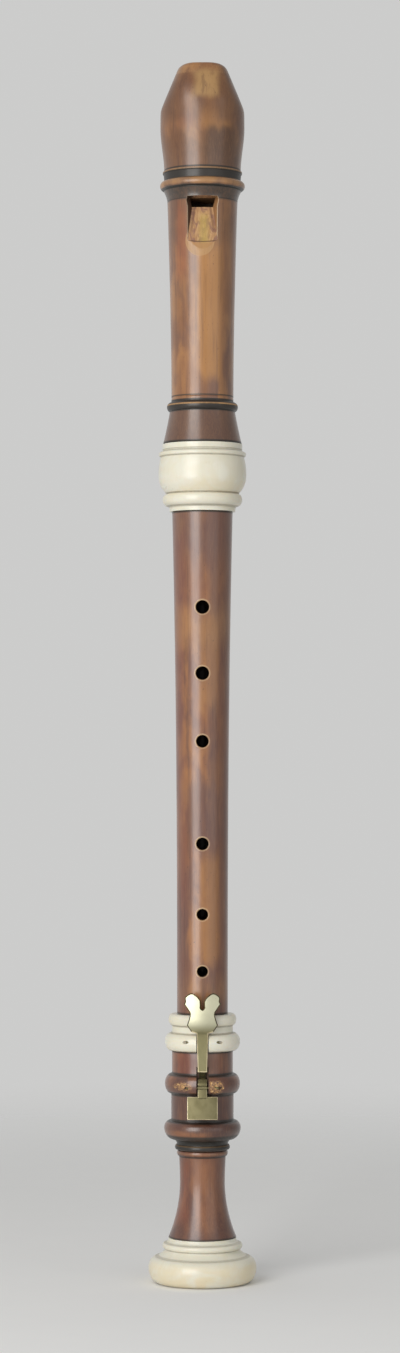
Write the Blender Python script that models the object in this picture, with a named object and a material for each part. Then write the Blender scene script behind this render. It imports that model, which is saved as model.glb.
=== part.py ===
# Tenor recorder in three joints: turned wooden head, middle and foot, ivory-coloured mounts,
# and an open-standing brass key made of a touch lever and a pad lever.
# Metres, +Z up along the bore from the foot to the beak. The origin is the centre of the
# foot's underside, and the window, the finger holes and the key face -Y.

import math

import bmesh
import bpy
from mathutils import Matrix, Vector

# Facets round a turned piece, round a small hole or pin, and along a curve of a profile
TURNED_SIDES = 32
HOLE_SIDES = 16
PIN_SIDES = 12
ARC_STEPS = 3
CURVE_STEPS = 6

# Gaps: wood to ivory and socket to tenon, metal on metal, and a pin in its hole
SEAT_GAP = 0.0003
METAL_GAP = 0.0001
PIN_GAP = 0.0001

# Foot bell mount, which the recorder stands on
BELL_HEIGHT = 0.0241
BELL_FLAT_RADIUS = 0.0232
BELL_RADIUS = 0.0289
BELL_CREST_HEIGHT = 0.0079
BELL_GROOVE_RADIUS = 0.0243
BELL_GROOVE_HEIGHT = 0.0141
BELL_COVE_RADIUS = 0.0198
BELL_COVE_HEIGHT = 0.0040
BELL_BEAD_RADIUS = 0.0214
BELL_BEAD_HEIGHT = 0.0034
BELL_LIP = 0.0030
BELL_SPIGOT_RADIUS = 0.0130

# Wooden foot, from the bell up
FLARE_LOW_RADIUS = 0.0181
FLARE_WAIST_RADIUS = 0.0120
FLARE_LENGTH = 0.0300
NECK_RADIUS = 0.0125
NECK_LENGTH = 0.0136
NECK_BEAD_RADIUS = 0.0136
NECK_BEAD_HEIGHT = 0.0034
COLLAR_RADIUS = 0.0147
COLLAR_HEIGHT = 0.0029
STAINED_COVE_RADIUS = 0.0136
STAINED_COVE_HEIGHT = 0.0026
LOW_RING_RADIUS = 0.0205
LOW_RING_FOOT_RADIUS = 0.0152
LOW_RING_HEIGHT = 0.0103
LOW_RING_CREST_SHARE = 0.62
PAD_BARREL_RADIUS = 0.0167
PAD_BARREL_LENGTH = 0.0143
KEY_RING_RADIUS = 0.0201
KEY_RING_HEIGHT = 0.0107
UPPER_BARREL_RADIUS = 0.0163
UPPER_BARREL_LENGTH = 0.0120
FOOT_SPIGOT_RADIUS = 0.0149
FOOT_BORE_TOP_RADIUS = 0.0082
FOOT_BORE_END_RADIUS = 0.0074

# Ivory ferrule round the foot's socket
FERRULE_BEAD_RADIUS = 0.0201
FERRULE_BEAD_HEIGHT = 0.0095
FERRULE_WAIST_RADIUS = 0.0163
FERRULE_WAIST_HEIGHT = 0.0039
FERRULE_TOP_RADIUS = 0.0181
FERRULE_TOP_HEIGHT = 0.0061
FERRULE_EDGE_RADIUS = 0.0172
FERRULE_LIP = 0.0023

# Middle joint with its two tenons and the thread wound on them
MIDDLE_LENGTH = 0.2677
MIDDLE_LOW_RADIUS = 0.0136
MIDDLE_TOP_RADIUS = 0.0162
MIDDLE_SWELL_POWER = 2.5
MIDDLE_BORE_TOP_RADIUS = 0.0107
MIDDLE_BORE_END_RADIUS = 0.0084
TENON_LENGTH = 0.0285
UPPER_TENON_RADIUS = 0.0131
LOWER_TENON_RADIUS = 0.0117
LAPPING_DEPTH = 0.0009
LAPPING_MARGIN = 0.0045

# Tone holes: distance of each centre below the head's shoulder, and diameter
FINGER_HOLES = (
    (0.0511, 0.0071),
    (0.0862, 0.0071),
    (0.1224, 0.0066),
    (0.1769, 0.0065),
    (0.2145, 0.0060),
    (0.2448, 0.0057),
)
THUMB_HOLE_DROP = 0.0400
THUMB_HOLE_DIAMETER = 0.0068

# Ivory bulb round the head's socket
BULB_EDGE_RADIUS = 0.0176
BULB_EDGE_HEIGHT = 0.0027
BULB_LOW_BEAD_RADIUS = 0.0213
BULB_LOW_BEAD_HEIGHT = 0.0066
BULB_GROOVE_RADIUS = 0.0196
BULB_RADIUS = 0.0235
BULB_TOP_RADIUS = 0.0222
BULB_HEIGHT = 0.0200
BULB_CREST_SHARE = 0.52
BULB_BEAD_RADIUS = 0.0234
BULB_BEAD_HEIGHT = 0.0028
BULB_BAND_RADIUS = 0.0213
BULB_BAND_HEIGHT = 0.0040
BULB_LIP = 0.0027
HEAD_SPIGOT_RADIUS = 0.0159

# Wooden head, from the bulb up to the tip of the beak
CONE_LOW_RADIUS = 0.0210
CONE_TOP_RADIUS = 0.0175
CONE_LENGTH = 0.0172
HEAD_BEAD_RADIUS = 0.0190
HEAD_BEAD_HEIGHT = 0.0048
HEAD_NECK_RADIUS = 0.0166
HEAD_NECK_LENGTH = 0.0027
BODY_TOP_RADIUS = 0.01875
BODY_LENGTH = 0.1039
BODY_SWELL_POWER = 1.6
COVE_TOP_RADIUS = 0.0209
COVE_LENGTH = 0.0066
GROOVE_RADIUS = 0.0205
BIG_BEAD_RADIUS = 0.0227
BIG_BEAD_HEIGHT = 0.0048
BAND_RADIUS = 0.0208
BAND_LENGTH = 0.0040
RIDGE_RADIUS = 0.0212
RIDGE_HEIGHT = 0.0012
BULGE_RADIUS = 0.0225
BULGE_LENGTH = 0.0234
BEAK_LENGTH = 0.0330
HEAD_BORE_RADIUS = 0.0118

# Beak: how the turned end is drawn in from the front and cut away behind
TIP_DEPTH = 0.0145
TIP_SWEEP_POWER = 2.2
SIDE_TAPER_START = 0.0093
SIDE_TAPER_SLOPE = 0.435
TIP_CORNER_RADIUS = 0.0030
TIP_CORNER_DROP = 0.0034
TIP_FRONT_DROP = 0.0010
TIP_SQUARENESS = 3.6
BEAK_CUT_RADIUS = 0.0500
BEAK_CUT_TIP = 0.0075
BEAK_CUT_LENGTH = 0.0470

# Block, windway and window
BLOCK_LENGTH = 0.0715
BLOCK_CHAMFER = 0.0006
WINDWAY_HEIGHT = 0.0011
WINDWAY_WIDTH = 0.0138
CUT_UP = 0.0053
LABIUM_THICKNESS = 0.0005
LABIUM_WIDTH = 0.0112
RAMP_LENGTH = 0.0262
RAMP_END_WIDTH = 0.0188
WINDOW_WIDTH = 0.0163

# Key: axles, levers, springs and pad
AXLE_RADIUS = 0.0007
AXLE_DEPTH = 0.0023
TOUCH_AXLE_RISE = 0.0055
PAD_AXLE_RISE = 0.0043
LUG_RADIUS = 0.0015
TOUCH_WIDTH = 0.0192
TOUCH_REACH = 0.0261
TOUCH_THICKNESS = 0.0013
TOUCH_CLEARANCE = 0.0028
TOUCH_DISH = 0.0017
TOUCH_CREST_DROP = 0.0129
TOUCH_BELLY_DROP = 0.0168
NOTCH_DEPTH = 0.0085
NOTCH_RADIUS = 0.00105
POINT_WIDTH = 0.0196
POINT_DROP = 0.0056
WAIST_WIDTH = 0.0132
WAIST_DROP = 0.0112
HIP_WIDTH = 0.0164
HIP_DROP = 0.0169
HEEL_WIDTH = 0.0118
HEEL_DROP = 0.0203
NECK_DROP = 0.0211
NECK_BEND = 0.0015
SHANK_WIDTH = 0.0062
SHANK_END_WIDTH = 0.0050
SHANK_THICKNESS = 0.0018
SHANK_PROUD = 0.0003
SHANK_REACH = 0.0156
TONGUE_WIDTH = 0.0036
TONGUE_THICKNESS = 0.0012
TONGUE_LAP = 0.0012
KEY_SLOT_WIDTH = 0.0065
KEY_SIDE_GAP = 0.0002
PAD_SHANK_WIDTH = 0.0048
PAD_SHANK_THICKNESS = 0.0018
NOSE_REACH = 0.0046
NOSE_TIP_THICKNESS = 0.0010
FLAP_WIDTH = 0.0161
FLAP_LENGTH = 0.0122
FLAP_THICKNESS = 0.0014
FLAP_DROP = 0.0047
PAD_OPEN_ANGLE = math.radians(14.0)
LEVER_PLAY = 0.0002
PAD_WIDTH = 0.0135
PAD_LENGTH = 0.0092
PAD_THICKNESS = 0.0020
PAD_CORNER = 0.0012
PAD_EDGE = 0.0004
PAD_HOLE_DIAMETER = 0.0065
SPRING_THICKNESS = 0.00035
TOUCH_SPRING_WIDTH = 0.0034
PAD_SPRING_WIDTH = 0.0030
TOUCH_RIVET_DROP = 0.0126
SPRING_ROOT = 0.0016
RIVET_RADIUS = 0.0006
RIVET_HEAD_RADIUS = 0.0010
RIVET_HEAD_HEIGHT = 0.0004

# Heights of the joints' ends, worked out from the lengths above
Z_LOW_RING = (
    BELL_HEIGHT + FLARE_LENGTH + NECK_LENGTH + NECK_BEAD_HEIGHT + COLLAR_HEIGHT + STAINED_COVE_HEIGHT
)
Z_PAD_BARREL = Z_LOW_RING + LOW_RING_HEIGHT
Z_KEY_RING = Z_PAD_BARREL + PAD_BARREL_LENGTH
Z_UPPER_BARREL = Z_KEY_RING + KEY_RING_HEIGHT
Z_FERRULE = Z_UPPER_BARREL + UPPER_BARREL_LENGTH + SEAT_GAP
Z_FERRULE_WAIST = Z_FERRULE + FERRULE_BEAD_HEIGHT
Z_FERRULE_TOP = Z_FERRULE_WAIST + FERRULE_WAIST_HEIGHT
Z_FOOT_TOP = Z_FERRULE_TOP + FERRULE_TOP_HEIGHT
Z_MIDDLE = Z_FOOT_TOP + SEAT_GAP
Z_SHOULDER = Z_MIDDLE + MIDDLE_LENGTH
Z_BULB = Z_SHOULDER + SEAT_GAP
BULB_RING_HEIGHT = (
    BULB_EDGE_HEIGHT + BULB_LOW_BEAD_HEIGHT + BULB_HEIGHT + BULB_BEAD_HEIGHT + BULB_BAND_HEIGHT
)
Z_HEAD = Z_BULB + BULB_RING_HEIGHT + SEAT_GAP
Z_BODY = Z_HEAD + CONE_LENGTH + HEAD_BEAD_HEIGHT + HEAD_NECK_LENGTH
Z_BIG_BEAD = Z_BODY + BODY_LENGTH + COVE_LENGTH
Z_BULGE = Z_BIG_BEAD + BIG_BEAD_HEIGHT + BAND_LENGTH + RIDGE_HEIGHT
Z_BEAK = Z_BULGE + BULGE_LENGTH
Z_TIP = Z_BEAK + BEAK_LENGTH
Z_BLOCK = Z_TIP - BLOCK_LENGTH

# Radii that follow from a tenon or a bore
HEAD_SOCKET_RADIUS = UPPER_TENON_RADIUS + SEAT_GAP
FOOT_SOCKET_RADIUS = LOWER_TENON_RADIUS + SEAT_GAP
BLOCK_RADIUS = HEAD_BORE_RADIUS - SEAT_GAP

# The two axles and what lies round them
TOUCH_AXLE = Vector((0, AXLE_DEPTH - FERRULE_BEAD_RADIUS, Z_FERRULE + TOUCH_AXLE_RISE))
PAD_AXLE = Vector((0, AXLE_DEPTH - KEY_RING_RADIUS, Z_KEY_RING + PAD_AXLE_RISE))
AXLE_HOLE_RADIUS = AXLE_RADIUS + PIN_GAP


# Curves of a profile: each gives the points after a, up to and including b

def arrive(a, b, power, steps):
    # From a to b, running along the axis at b
    points = []
    for i in range(1, steps + 1):
        t = i / steps
        points.append((b[0] + (a[0] - b[0]) * (1 - t) ** power, a[1] + (b[1] - a[1]) * t))
    return points


def leave(a, b, power, steps):
    # From a to b, running along the axis at a
    points = []
    for i in range(1, steps + 1):
        t = i / steps
        points.append((a[0] + (b[0] - a[0]) * t ** power, a[1] + (b[1] - a[1]) * t))
    return points


def rise(a, b, steps=ARC_STEPS):
    # Quarter round that leaves a square to the axis and arrives along it
    points = []
    for i in range(1, steps + 1):
        t = math.pi / 2 * i / steps
        points.append((a[0] + (b[0] - a[0]) * math.sin(t), a[1] + (b[1] - a[1]) * (1 - math.cos(t))))
    return points


def fall(a, b, steps=ARC_STEPS):
    # Quarter round that leaves a along the axis and arrives square to it
    points = []
    for i in range(1, steps + 1):
        t = math.pi / 2 * i / steps
        points.append((a[0] + (b[0] - a[0]) * (1 - math.cos(t)), a[1] + (b[1] - a[1]) * math.sin(t)))
    return points


def bead(a, crest, b, share=0.5, steps=ARC_STEPS):
    # Round bead from a to b with its widest place at a share of the way
    top = (crest, a[1] + (b[1] - a[1]) * share)
    return rise(a, top, steps) + fall(top, b, steps)


def bezier(a, b, c, d, steps):
    # Cubic curve from a to d with handles b and c
    points = []
    for i in range(1, steps + 1):
        t = i / steps
        s = 1 - t
        weights = (s ** 3, 3 * s * s * t, 3 * s * t * t, t ** 3)
        points.append(tuple(sum(w * p[k] for w, p in zip(weights, (a, b, c, d))) for k in (0, 1)))
    return points


def spline(knots, steps):
    # Smooth curve through the knots, with a number of steps between each two
    ends = [knots[0]] + list(knots) + [knots[-1]]
    points = [knots[0]]
    for i in range(1, len(ends) - 2):
        p0, p1, p2, p3 = ends[i - 1:i + 3]
        b = tuple(p1[k] + (p2[k] - p0[k]) / 6 for k in (0, 1))
        c = tuple(p2[k] - (p3[k] - p1[k]) / 6 for k in (0, 1))
        points += bezier(p1, b, c, p2, steps)
    return points


# Objects

def clear_scene():
    for old in list(bpy.data.objects):
        bpy.data.objects.remove(old, do_unlink=True)


def make_material(name, colour, roughness, metallic=0.0):
    material = bpy.data.materials.new(name)
    material.use_nodes = True
    shader = material.node_tree.nodes["Principled BSDF"]
    shader.inputs["Base Color"].default_value = (*colour, 1.0)
    shader.inputs["Roughness"].default_value = roughness
    shader.inputs["Metallic"].default_value = metallic
    material.diffuse_color = (*colour, 1.0)
    return material


def make_object(name, bm, material=None, origin=(0, 0, 0)):
    # The mesh is drawn in place, and the object's origin is put where it turns or slides
    bmesh.ops.translate(bm, vec=-Vector(origin), verts=bm.verts)
    mesh = bpy.data.meshes.new(name)
    bm.to_mesh(mesh)
    bm.free()
    mesh.shade_smooth()
    mesh.set_sharp_from_angle(angle=math.radians(35))
    if material:
        mesh.materials.append(material)
    made = bpy.data.objects.new(name, mesh)
    made.location = origin
    bpy.context.collection.objects.link(made)
    return made


def make_cutter(name, bm):
    cutter = make_object(name, bm)
    cutter.hide_render = True
    cutter.display_type = "WIRE"
    return cutter


def add_boolean(target, cutter, operation="DIFFERENCE"):
    boolean = target.modifiers.new(cutter.name, "BOOLEAN")
    boolean.operation = operation
    boolean.solver = "EXACT"
    boolean.object = cutter


def flatten_shading(piece):
    # Large flat faces left by a cut keep a flat look beside the rounded ones
    piece.modifiers.new("shading", "WEIGHTED_NORMAL").keep_sharp = True


def attach(child, parent):
    bpy.context.view_layer.update()
    child.parent = parent
    child.matrix_parent_inverse = parent.matrix_world.inverted()


def turned(profile, sides=TURNED_SIDES):
    # A profile of (radius, height) turned round the bore's axis; its ends may lie on the axis
    bm = bmesh.new()
    verts = [bm.verts.new((radius, 0, height)) for radius, height in profile]
    on_axis = profile[0][0] == 0
    for a, b in zip(verts, verts[1:] + ([] if on_axis else verts[:1])):
        bm.edges.new((a, b))
    bmesh.ops.spin(
        bm, geom=bm.verts[:] + bm.edges[:], cent=(0, 0, 0), axis=(0, 0, 1),
        angle=2 * math.pi, steps=sides, use_merge=True,
    )
    bmesh.ops.remove_doubles(bm, verts=bm.verts, dist=1e-6)
    bmesh.ops.recalc_face_normals(bm, faces=bm.faces)
    return bm


def prism(outline, axis, low, high):
    # An outline of (across, height) extruded along X or Y
    bm = bmesh.new()
    if axis == "X":
        verts = [bm.verts.new((low, across, height)) for across, height in outline]
        step = (high - low, 0, 0)
    else:
        verts = [bm.verts.new((across, low, height)) for across, height in outline]
        step = (0, high - low, 0)
    face = bm.faces.new(verts)
    grown = bmesh.ops.extrude_face_region(bm, geom=[face])
    moved = [v for v in grown["geom"] if isinstance(v, bmesh.types.BMVert)]
    bmesh.ops.translate(bm, vec=step, verts=moved)
    bmesh.ops.recalc_face_normals(bm, faces=bm.faces)
    return bm


def box(low, high):
    bm = bmesh.new()
    size = Vector(high) - Vector(low)
    bmesh.ops.create_cube(bm, size=1.0)
    bmesh.ops.scale(bm, vec=size, verts=bm.verts)
    bmesh.ops.translate(bm, vec=(Vector(low) + Vector(high)) / 2, verts=bm.verts)
    return bm


def add_rod(bm, radius, start, end, sides=PIN_SIDES):
    start = Vector(start)
    end = Vector(end)
    turn = (end - start).to_track_quat("Z", "Y").to_matrix().to_4x4()
    place = Matrix.Translation((start + end) / 2) @ turn
    bmesh.ops.create_cone(
        bm, cap_ends=True, segments=sides, radius1=radius, radius2=radius,
        depth=(end - start).length, matrix=place,
    )
    return bm


# Ivory mounts

def make_bell_ring(ivory):
    z_groove = BELL_GROOVE_HEIGHT
    z_cove = z_groove + BELL_COVE_HEIGHT
    z_bead = z_cove + BELL_BEAD_HEIGHT
    z_fillet = (z_bead + BELL_HEIGHT) / 2
    crest = (BELL_RADIUS, BELL_CREST_HEIGHT)
    groove = (BELL_GROOVE_RADIUS, z_groove)
    fillet = (FLARE_LOW_RADIUS, BELL_HEIGHT)
    profile = [(BELL_FLAT_RADIUS, 0)]
    profile += rise(profile[-1], crest, 4)
    profile += fall(crest, groove, 4)
    profile += arrive(groove, (BELL_COVE_RADIUS, z_cove), 1.6, 3)
    profile += bead((BELL_COVE_RADIUS, z_cove), BELL_BEAD_RADIUS, (BELL_COVE_RADIUS, z_bead), 0.5, 3)
    profile += arrive((BELL_COVE_RADIUS, z_bead), (FLARE_LOW_RADIUS, z_fillet), 1.5, 2)
    profile += [fillet]
    bore = BELL_SPIGOT_RADIUS + SEAT_GAP
    end = FOOT_BORE_END_RADIUS + SEAT_GAP
    profile += [(bore, BELL_HEIGHT), (bore, BELL_LIP), (end, BELL_LIP), (end, 0)]
    return make_object("foot_bell_ring", turned(profile), ivory)


def make_foot_socket_ring(ivory):
    edge = (FERRULE_EDGE_RADIUS, Z_FERRULE)
    waist_low = (FERRULE_WAIST_RADIUS, Z_FERRULE_WAIST)
    waist_top = (FERRULE_WAIST_RADIUS, Z_FERRULE_TOP)
    shoulder = (FERRULE_WAIST_RADIUS, Z_FOOT_TOP)
    profile = [edge] + bead(edge, FERRULE_BEAD_RADIUS, waist_low)
    profile += [waist_top] + bead(waist_top, FERRULE_TOP_RADIUS, shoulder)
    bore = FOOT_SPIGOT_RADIUS + SEAT_GAP
    z_lip = Z_FOOT_TOP - FERRULE_LIP
    profile += [(FOOT_SOCKET_RADIUS, Z_FOOT_TOP), (FOOT_SOCKET_RADIUS, z_lip), (bore, z_lip)]
    profile += [(bore, Z_FERRULE)]
    ring = make_object("foot_socket_ring", turned(profile), ivory, (0, 0, Z_FERRULE))

    half = SHANK_WIDTH / 2 + KEY_SIDE_GAP
    floor = TOUCH_AXLE.y + LUG_RADIUS + SEAT_GAP
    slot = box((-half, -2 * FERRULE_BEAD_RADIUS, Z_FERRULE - SEAT_GAP), (half, floor, Z_FERRULE_WAIST))
    add_boolean(ring, make_cutter("ferrule_slot_cutter", slot))
    add_boolean(ring, make_axle_cutter("touch_axle_cutter", TOUCH_AXLE))
    return ring


def make_head_socket_ring(ivory):
    z_bead = Z_BULB + BULB_EDGE_HEIGHT
    z_groove = z_bead + BULB_LOW_BEAD_HEIGHT
    z_crest = z_groove + BULB_HEIGHT * BULB_CREST_SHARE
    z_top = z_groove + BULB_HEIGHT
    z_band = z_top + BULB_BEAD_HEIGHT
    z_end = z_band + BULB_BAND_HEIGHT
    groove = (BULB_GROOVE_RADIUS, z_groove)
    crest = (BULB_RADIUS, z_crest)
    band = (BULB_BAND_RADIUS, z_band)
    profile = [(BULB_EDGE_RADIUS, Z_BULB)]
    profile += leave(profile[-1], (BULB_EDGE_RADIUS + SEAT_GAP, z_bead), 2.0, 2)
    profile += bead(profile[-1], BULB_LOW_BEAD_RADIUS, groove, 0.52)
    profile += arrive(groove, crest, 2.4, 5)
    profile += leave(crest, (BULB_TOP_RADIUS, z_top), 2.2, 4)
    profile += bead((BULB_TOP_RADIUS, z_top), BULB_BEAD_RADIUS, band, 0.5, 3)
    profile += [(BULB_BAND_RADIUS, z_end)]
    bore = HEAD_SPIGOT_RADIUS + SEAT_GAP
    z_lip = Z_BULB + BULB_LIP
    profile += [(bore, z_end), (bore, z_lip), (HEAD_SOCKET_RADIUS, z_lip), (HEAD_SOCKET_RADIUS, Z_BULB)]
    return make_object("head_socket_ring", turned(profile), ivory, (0, 0, Z_BULB))


# Wooden joints

def make_foot_joint(wood):
    z_flare = BELL_HEIGHT + SEAT_GAP
    z_waist = BELL_HEIGHT + FLARE_LENGTH
    z_neck = z_waist + NECK_LENGTH
    z_collar = z_neck + NECK_BEAD_HEIGHT
    z_cove = z_collar + COLLAR_HEIGHT
    flare = (FLARE_LOW_RADIUS, z_flare)
    waist = (FLARE_WAIST_RADIUS, z_waist)
    neck = (NECK_RADIUS, z_neck)
    collar = (STAINED_COVE_RADIUS, z_collar)
    cove = (STAINED_COVE_RADIUS, z_cove)
    ring = (LOW_RING_FOOT_RADIUS, Z_LOW_RING)
    barrel = (PAD_BARREL_RADIUS, Z_PAD_BARREL)
    profile = [flare] + arrive(flare, waist, 2.0, 6) + leave(waist, neck, 1.5, 3)
    profile += bead(neck, NECK_BEAD_RADIUS, (NECK_RADIUS, z_collar), 0.5, 2)
    profile += [collar] + bead(collar, COLLAR_RADIUS, cove, 0.45, 3)
    profile += leave(cove, ring, 2.0, 2)
    profile += bead(ring, LOW_RING_RADIUS, barrel, LOW_RING_CREST_SHARE)
    profile += [(PAD_BARREL_RADIUS, Z_KEY_RING)]
    profile += bead(profile[-1], KEY_RING_RADIUS, (UPPER_BARREL_RADIUS, Z_UPPER_BARREL))
    z_spigot = Z_FERRULE - SEAT_GAP
    z_end = Z_FOOT_TOP - FERRULE_LIP - SEAT_GAP
    profile += [(UPPER_BARREL_RADIUS, z_spigot), (FOOT_SPIGOT_RADIUS, z_spigot)]
    profile += [(FOOT_SPIGOT_RADIUS, z_end), (FOOT_SOCKET_RADIUS, z_end)]
    z_floor = Z_FOOT_TOP - TENON_LENGTH
    z_low = BELL_LIP + SEAT_GAP
    profile += [(FOOT_SOCKET_RADIUS, z_floor), (FOOT_BORE_TOP_RADIUS, z_floor)]
    profile += [(FOOT_BORE_END_RADIUS, z_low), (BELL_SPIGOT_RADIUS, z_low), (BELL_SPIGOT_RADIUS, z_flare)]
    foot = make_object("foot_joint", turned(profile), wood)

    # The flat that the pad closes on, between the two rings
    far = -2 * KEY_RING_RADIUS
    seat_half = FLAP_WIDTH
    seat = box((-seat_half, far, Z_PAD_BARREL + SEAT_GAP), (seat_half, pad_seat_y(), Z_KEY_RING))
    add_boolean(foot, make_cutter("pad_seat_cutter", seat))
    slot_half = KEY_SLOT_WIDTH / 2
    z_slot_top = TOUCH_AXLE.z - SHANK_REACH + SHANK_THICKNESS + 2 * SEAT_GAP
    slot = box((-slot_half, far, Z_KEY_RING - SEAT_GAP), (slot_half, key_slot_floor(), z_slot_top))
    add_boolean(foot, make_cutter("key_slot_cutter", slot))
    hole = add_rod(
        bmesh.new(), PAD_HOLE_DIAMETER / 2, (0, far, pad_centre_z()),
        (0, -FOOT_BORE_END_RADIUS / 2, pad_centre_z()), HOLE_SIDES,
    )
    add_boolean(foot, make_cutter("pad_hole_cutter", hole))
    add_boolean(foot, make_axle_cutter("pad_axle_cutter", PAD_AXLE))
    return foot


def tenon(radius, z_shoulder, z_end):
    # Outside of a tenon from its shoulder to its end, with the recess for the thread
    way = 1 if z_end > z_shoulder else -1
    z_a = z_shoulder + way * LAPPING_MARGIN
    z_b = z_end - way * LAPPING_MARGIN
    floor = radius - LAPPING_DEPTH
    return [(radius, z_shoulder), (radius, z_a), (floor, z_a), (floor, z_b), (radius, z_b), (radius, z_end)]


def make_middle_joint(wood):
    z_low = Z_MIDDLE - TENON_LENGTH
    z_high = Z_SHOULDER + TENON_LENGTH
    low = (MIDDLE_LOW_RADIUS, Z_MIDDLE)
    top = (MIDDLE_TOP_RADIUS, Z_SHOULDER)
    profile = tenon(LOWER_TENON_RADIUS, Z_MIDDLE, z_low)[::-1]
    profile += [low] + leave(low, top, MIDDLE_SWELL_POWER, CURVE_STEPS)
    profile += tenon(UPPER_TENON_RADIUS, Z_SHOULDER, z_high)
    profile += [(MIDDLE_BORE_TOP_RADIUS, z_high), (MIDDLE_BORE_END_RADIUS, z_low)]
    middle = make_object("middle_joint", turned(profile), wood)

    holes = bmesh.new()
    inside = MIDDLE_BORE_END_RADIUS / 2
    outside = 2 * MIDDLE_TOP_RADIUS
    for drop, diameter in FINGER_HOLES:
        z = Z_SHOULDER - drop
        add_rod(holes, diameter / 2, (0, -inside, z), (0, -outside, z), HOLE_SIDES)
    z = Z_SHOULDER - THUMB_HOLE_DROP
    add_rod(holes, THUMB_HOLE_DIAMETER / 2, (0, inside, z), (0, outside, z), HOLE_SIDES)
    add_boolean(middle, make_cutter("tone_hole_cutter", holes))
    return middle


def make_lapping(name, thread, radius, z_shoulder, z_end):
    # Thread wound in the tenon's recess
    margin = LAPPING_MARGIN + METAL_GAP
    low = min(z_shoulder, z_end) + margin
    high = max(z_shoulder, z_end) - margin
    floor = radius - LAPPING_DEPTH + METAL_GAP
    profile = [(floor, low), (radius, low), (radius, high), (floor, high)]
    return make_object(name, turned(profile), thread, (0, 0, low))


def tip_round(z):
    # Quarter round over the last stretch of the beak, from 0 at its start to 1 at the tip
    into = max(0.0, z - Z_TIP + TIP_CORNER_RADIUS) / TIP_CORNER_RADIUS
    return 1 - math.sqrt(1 - min(1.0, into) ** 2)


def side_half_width(z):
    # Half width of the beak seen from the front
    drawn = BULGE_RADIUS - SIDE_TAPER_SLOPE * max(0.0, z - Z_BEAK - SIDE_TAPER_START)
    return drawn - TIP_CORNER_DROP * tip_round(z)


def draw_in_beak(bm):
    # The turned end is made narrower than deep, with fuller corners towards the tip
    start = Z_BEAK + SIDE_TAPER_START
    for v in bm.verts:
        depth = math.hypot(v.co.x, v.co.y)
        if v.co.z <= start or depth < 1e-6:
            continue
        width = side_half_width(v.co.z) * depth / front_depth(v.co.z)
        share = (v.co.z - start) / (Z_TIP - start)
        power = 2 + (TIP_SQUARENESS - 2) * share
        along = v.co.x / depth
        across = v.co.y / depth
        reach = (abs(along / width) ** power + abs(across / depth) ** power) ** (-1 / power)
        v.co.x = along * reach
        v.co.y = across * reach


def front_depth(z):
    # How far the front of the beak stands from the bore's axis
    t = min(1.0, max(0.0, (z - Z_BEAK) / BEAK_LENGTH))
    return BULGE_RADIUS + (TIP_DEPTH - BULGE_RADIUS) * t ** TIP_SWEEP_POWER - tip_round(z) * TIP_FRONT_DROP


def beak_heights():
    # Levels up the beak, closer together near the rounded tip
    steps = 10
    return [Z_BEAK + BEAK_LENGTH * math.sin(math.pi / 2 * i / steps) for i in range(1, steps + 1)]


def beak_profile():
    return [(front_depth(z), z) for z in beak_heights()]


def head_body_profile():
    # Outside of the wooden head from the bulb up to the start of the beak
    z_bead = Z_HEAD + CONE_LENGTH
    z_neck = z_bead + HEAD_BEAD_HEIGHT
    z_cove = Z_BODY + BODY_LENGTH
    z_band = Z_BIG_BEAD + BIG_BEAD_HEIGHT
    z_ridge = z_band + BAND_LENGTH
    cone = (CONE_LOW_RADIUS, Z_HEAD)
    cone_top = (CONE_TOP_RADIUS, z_bead)
    body = (HEAD_NECK_RADIUS, Z_BODY)
    cove = (BODY_TOP_RADIUS, z_cove)
    cove_top = (COVE_TOP_RADIUS, Z_BIG_BEAD)
    band = (GROOVE_RADIUS, z_band)
    bulge = (GROOVE_RADIUS, Z_BULGE)
    profile = [cone] + arrive(cone, cone_top, 1.15, 3)
    profile += bead(cone_top, HEAD_BEAD_RADIUS, (HEAD_NECK_RADIUS, z_neck), 0.5, 3)
    profile += [body] + leave(body, cove, BODY_SWELL_POWER, CURVE_STEPS)
    profile += leave(cove, cove_top, 1.8, 3)
    profile += [(GROOVE_RADIUS, Z_BIG_BEAD)]
    profile += bead(profile[-1], BIG_BEAD_RADIUS, band)
    profile += leave(band, (BAND_RADIUS, z_ridge), 2.0, 2)
    profile += [(RIDGE_RADIUS, z_ridge), (RIDGE_RADIUS, Z_BULGE), bulge]
    for i in range(1, CURVE_STEPS + 1):
        t = i / CURVE_STEPS
        swell = t * t * (3 - 2 * t)
        radius = GROOVE_RADIUS + (BULGE_RADIUS - GROOVE_RADIUS) * swell
        profile.append((radius, Z_BULGE + BULGE_LENGTH * t))
    return profile


def make_beak_cutter():
    # The hollow behind the beak: an arc from the tip's back edge down to the bulge's back
    far = 3 * BULGE_RADIUS
    tip = Vector((-BEAK_CUT_TIP, Z_TIP))
    exit_point = Vector((BULGE_RADIUS, Z_TIP - BEAK_CUT_LENGTH))
    chord = exit_point - tip
    middle = (tip + exit_point) / 2
    square = Vector((-chord.y, chord.x)).normalized()
    centre = middle + square * math.sqrt(BEAK_CUT_RADIUS ** 2 - (chord.length / 2) ** 2)
    start = math.atan2(tip.y - centre.y, tip.x - centre.x)
    end = math.atan2(exit_point.y - centre.y, exit_point.x - centre.x)
    start -= 2 * math.pi if start > end else 0
    outline = [(tip.x, Z_TIP + far)]
    steps = 14
    overrun = 4
    for i in range(-1, steps + overrun + 1):
        angle = start + (end - start) * i / steps
        outline.append(tuple(centre + BEAK_CUT_RADIUS * Vector((math.cos(angle), math.sin(angle)))))
    outline += [(far, outline[-1][1]), (far, Z_TIP + far)]
    return make_cutter("beak_cutter", prism(outline, "X", -far, far))


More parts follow.
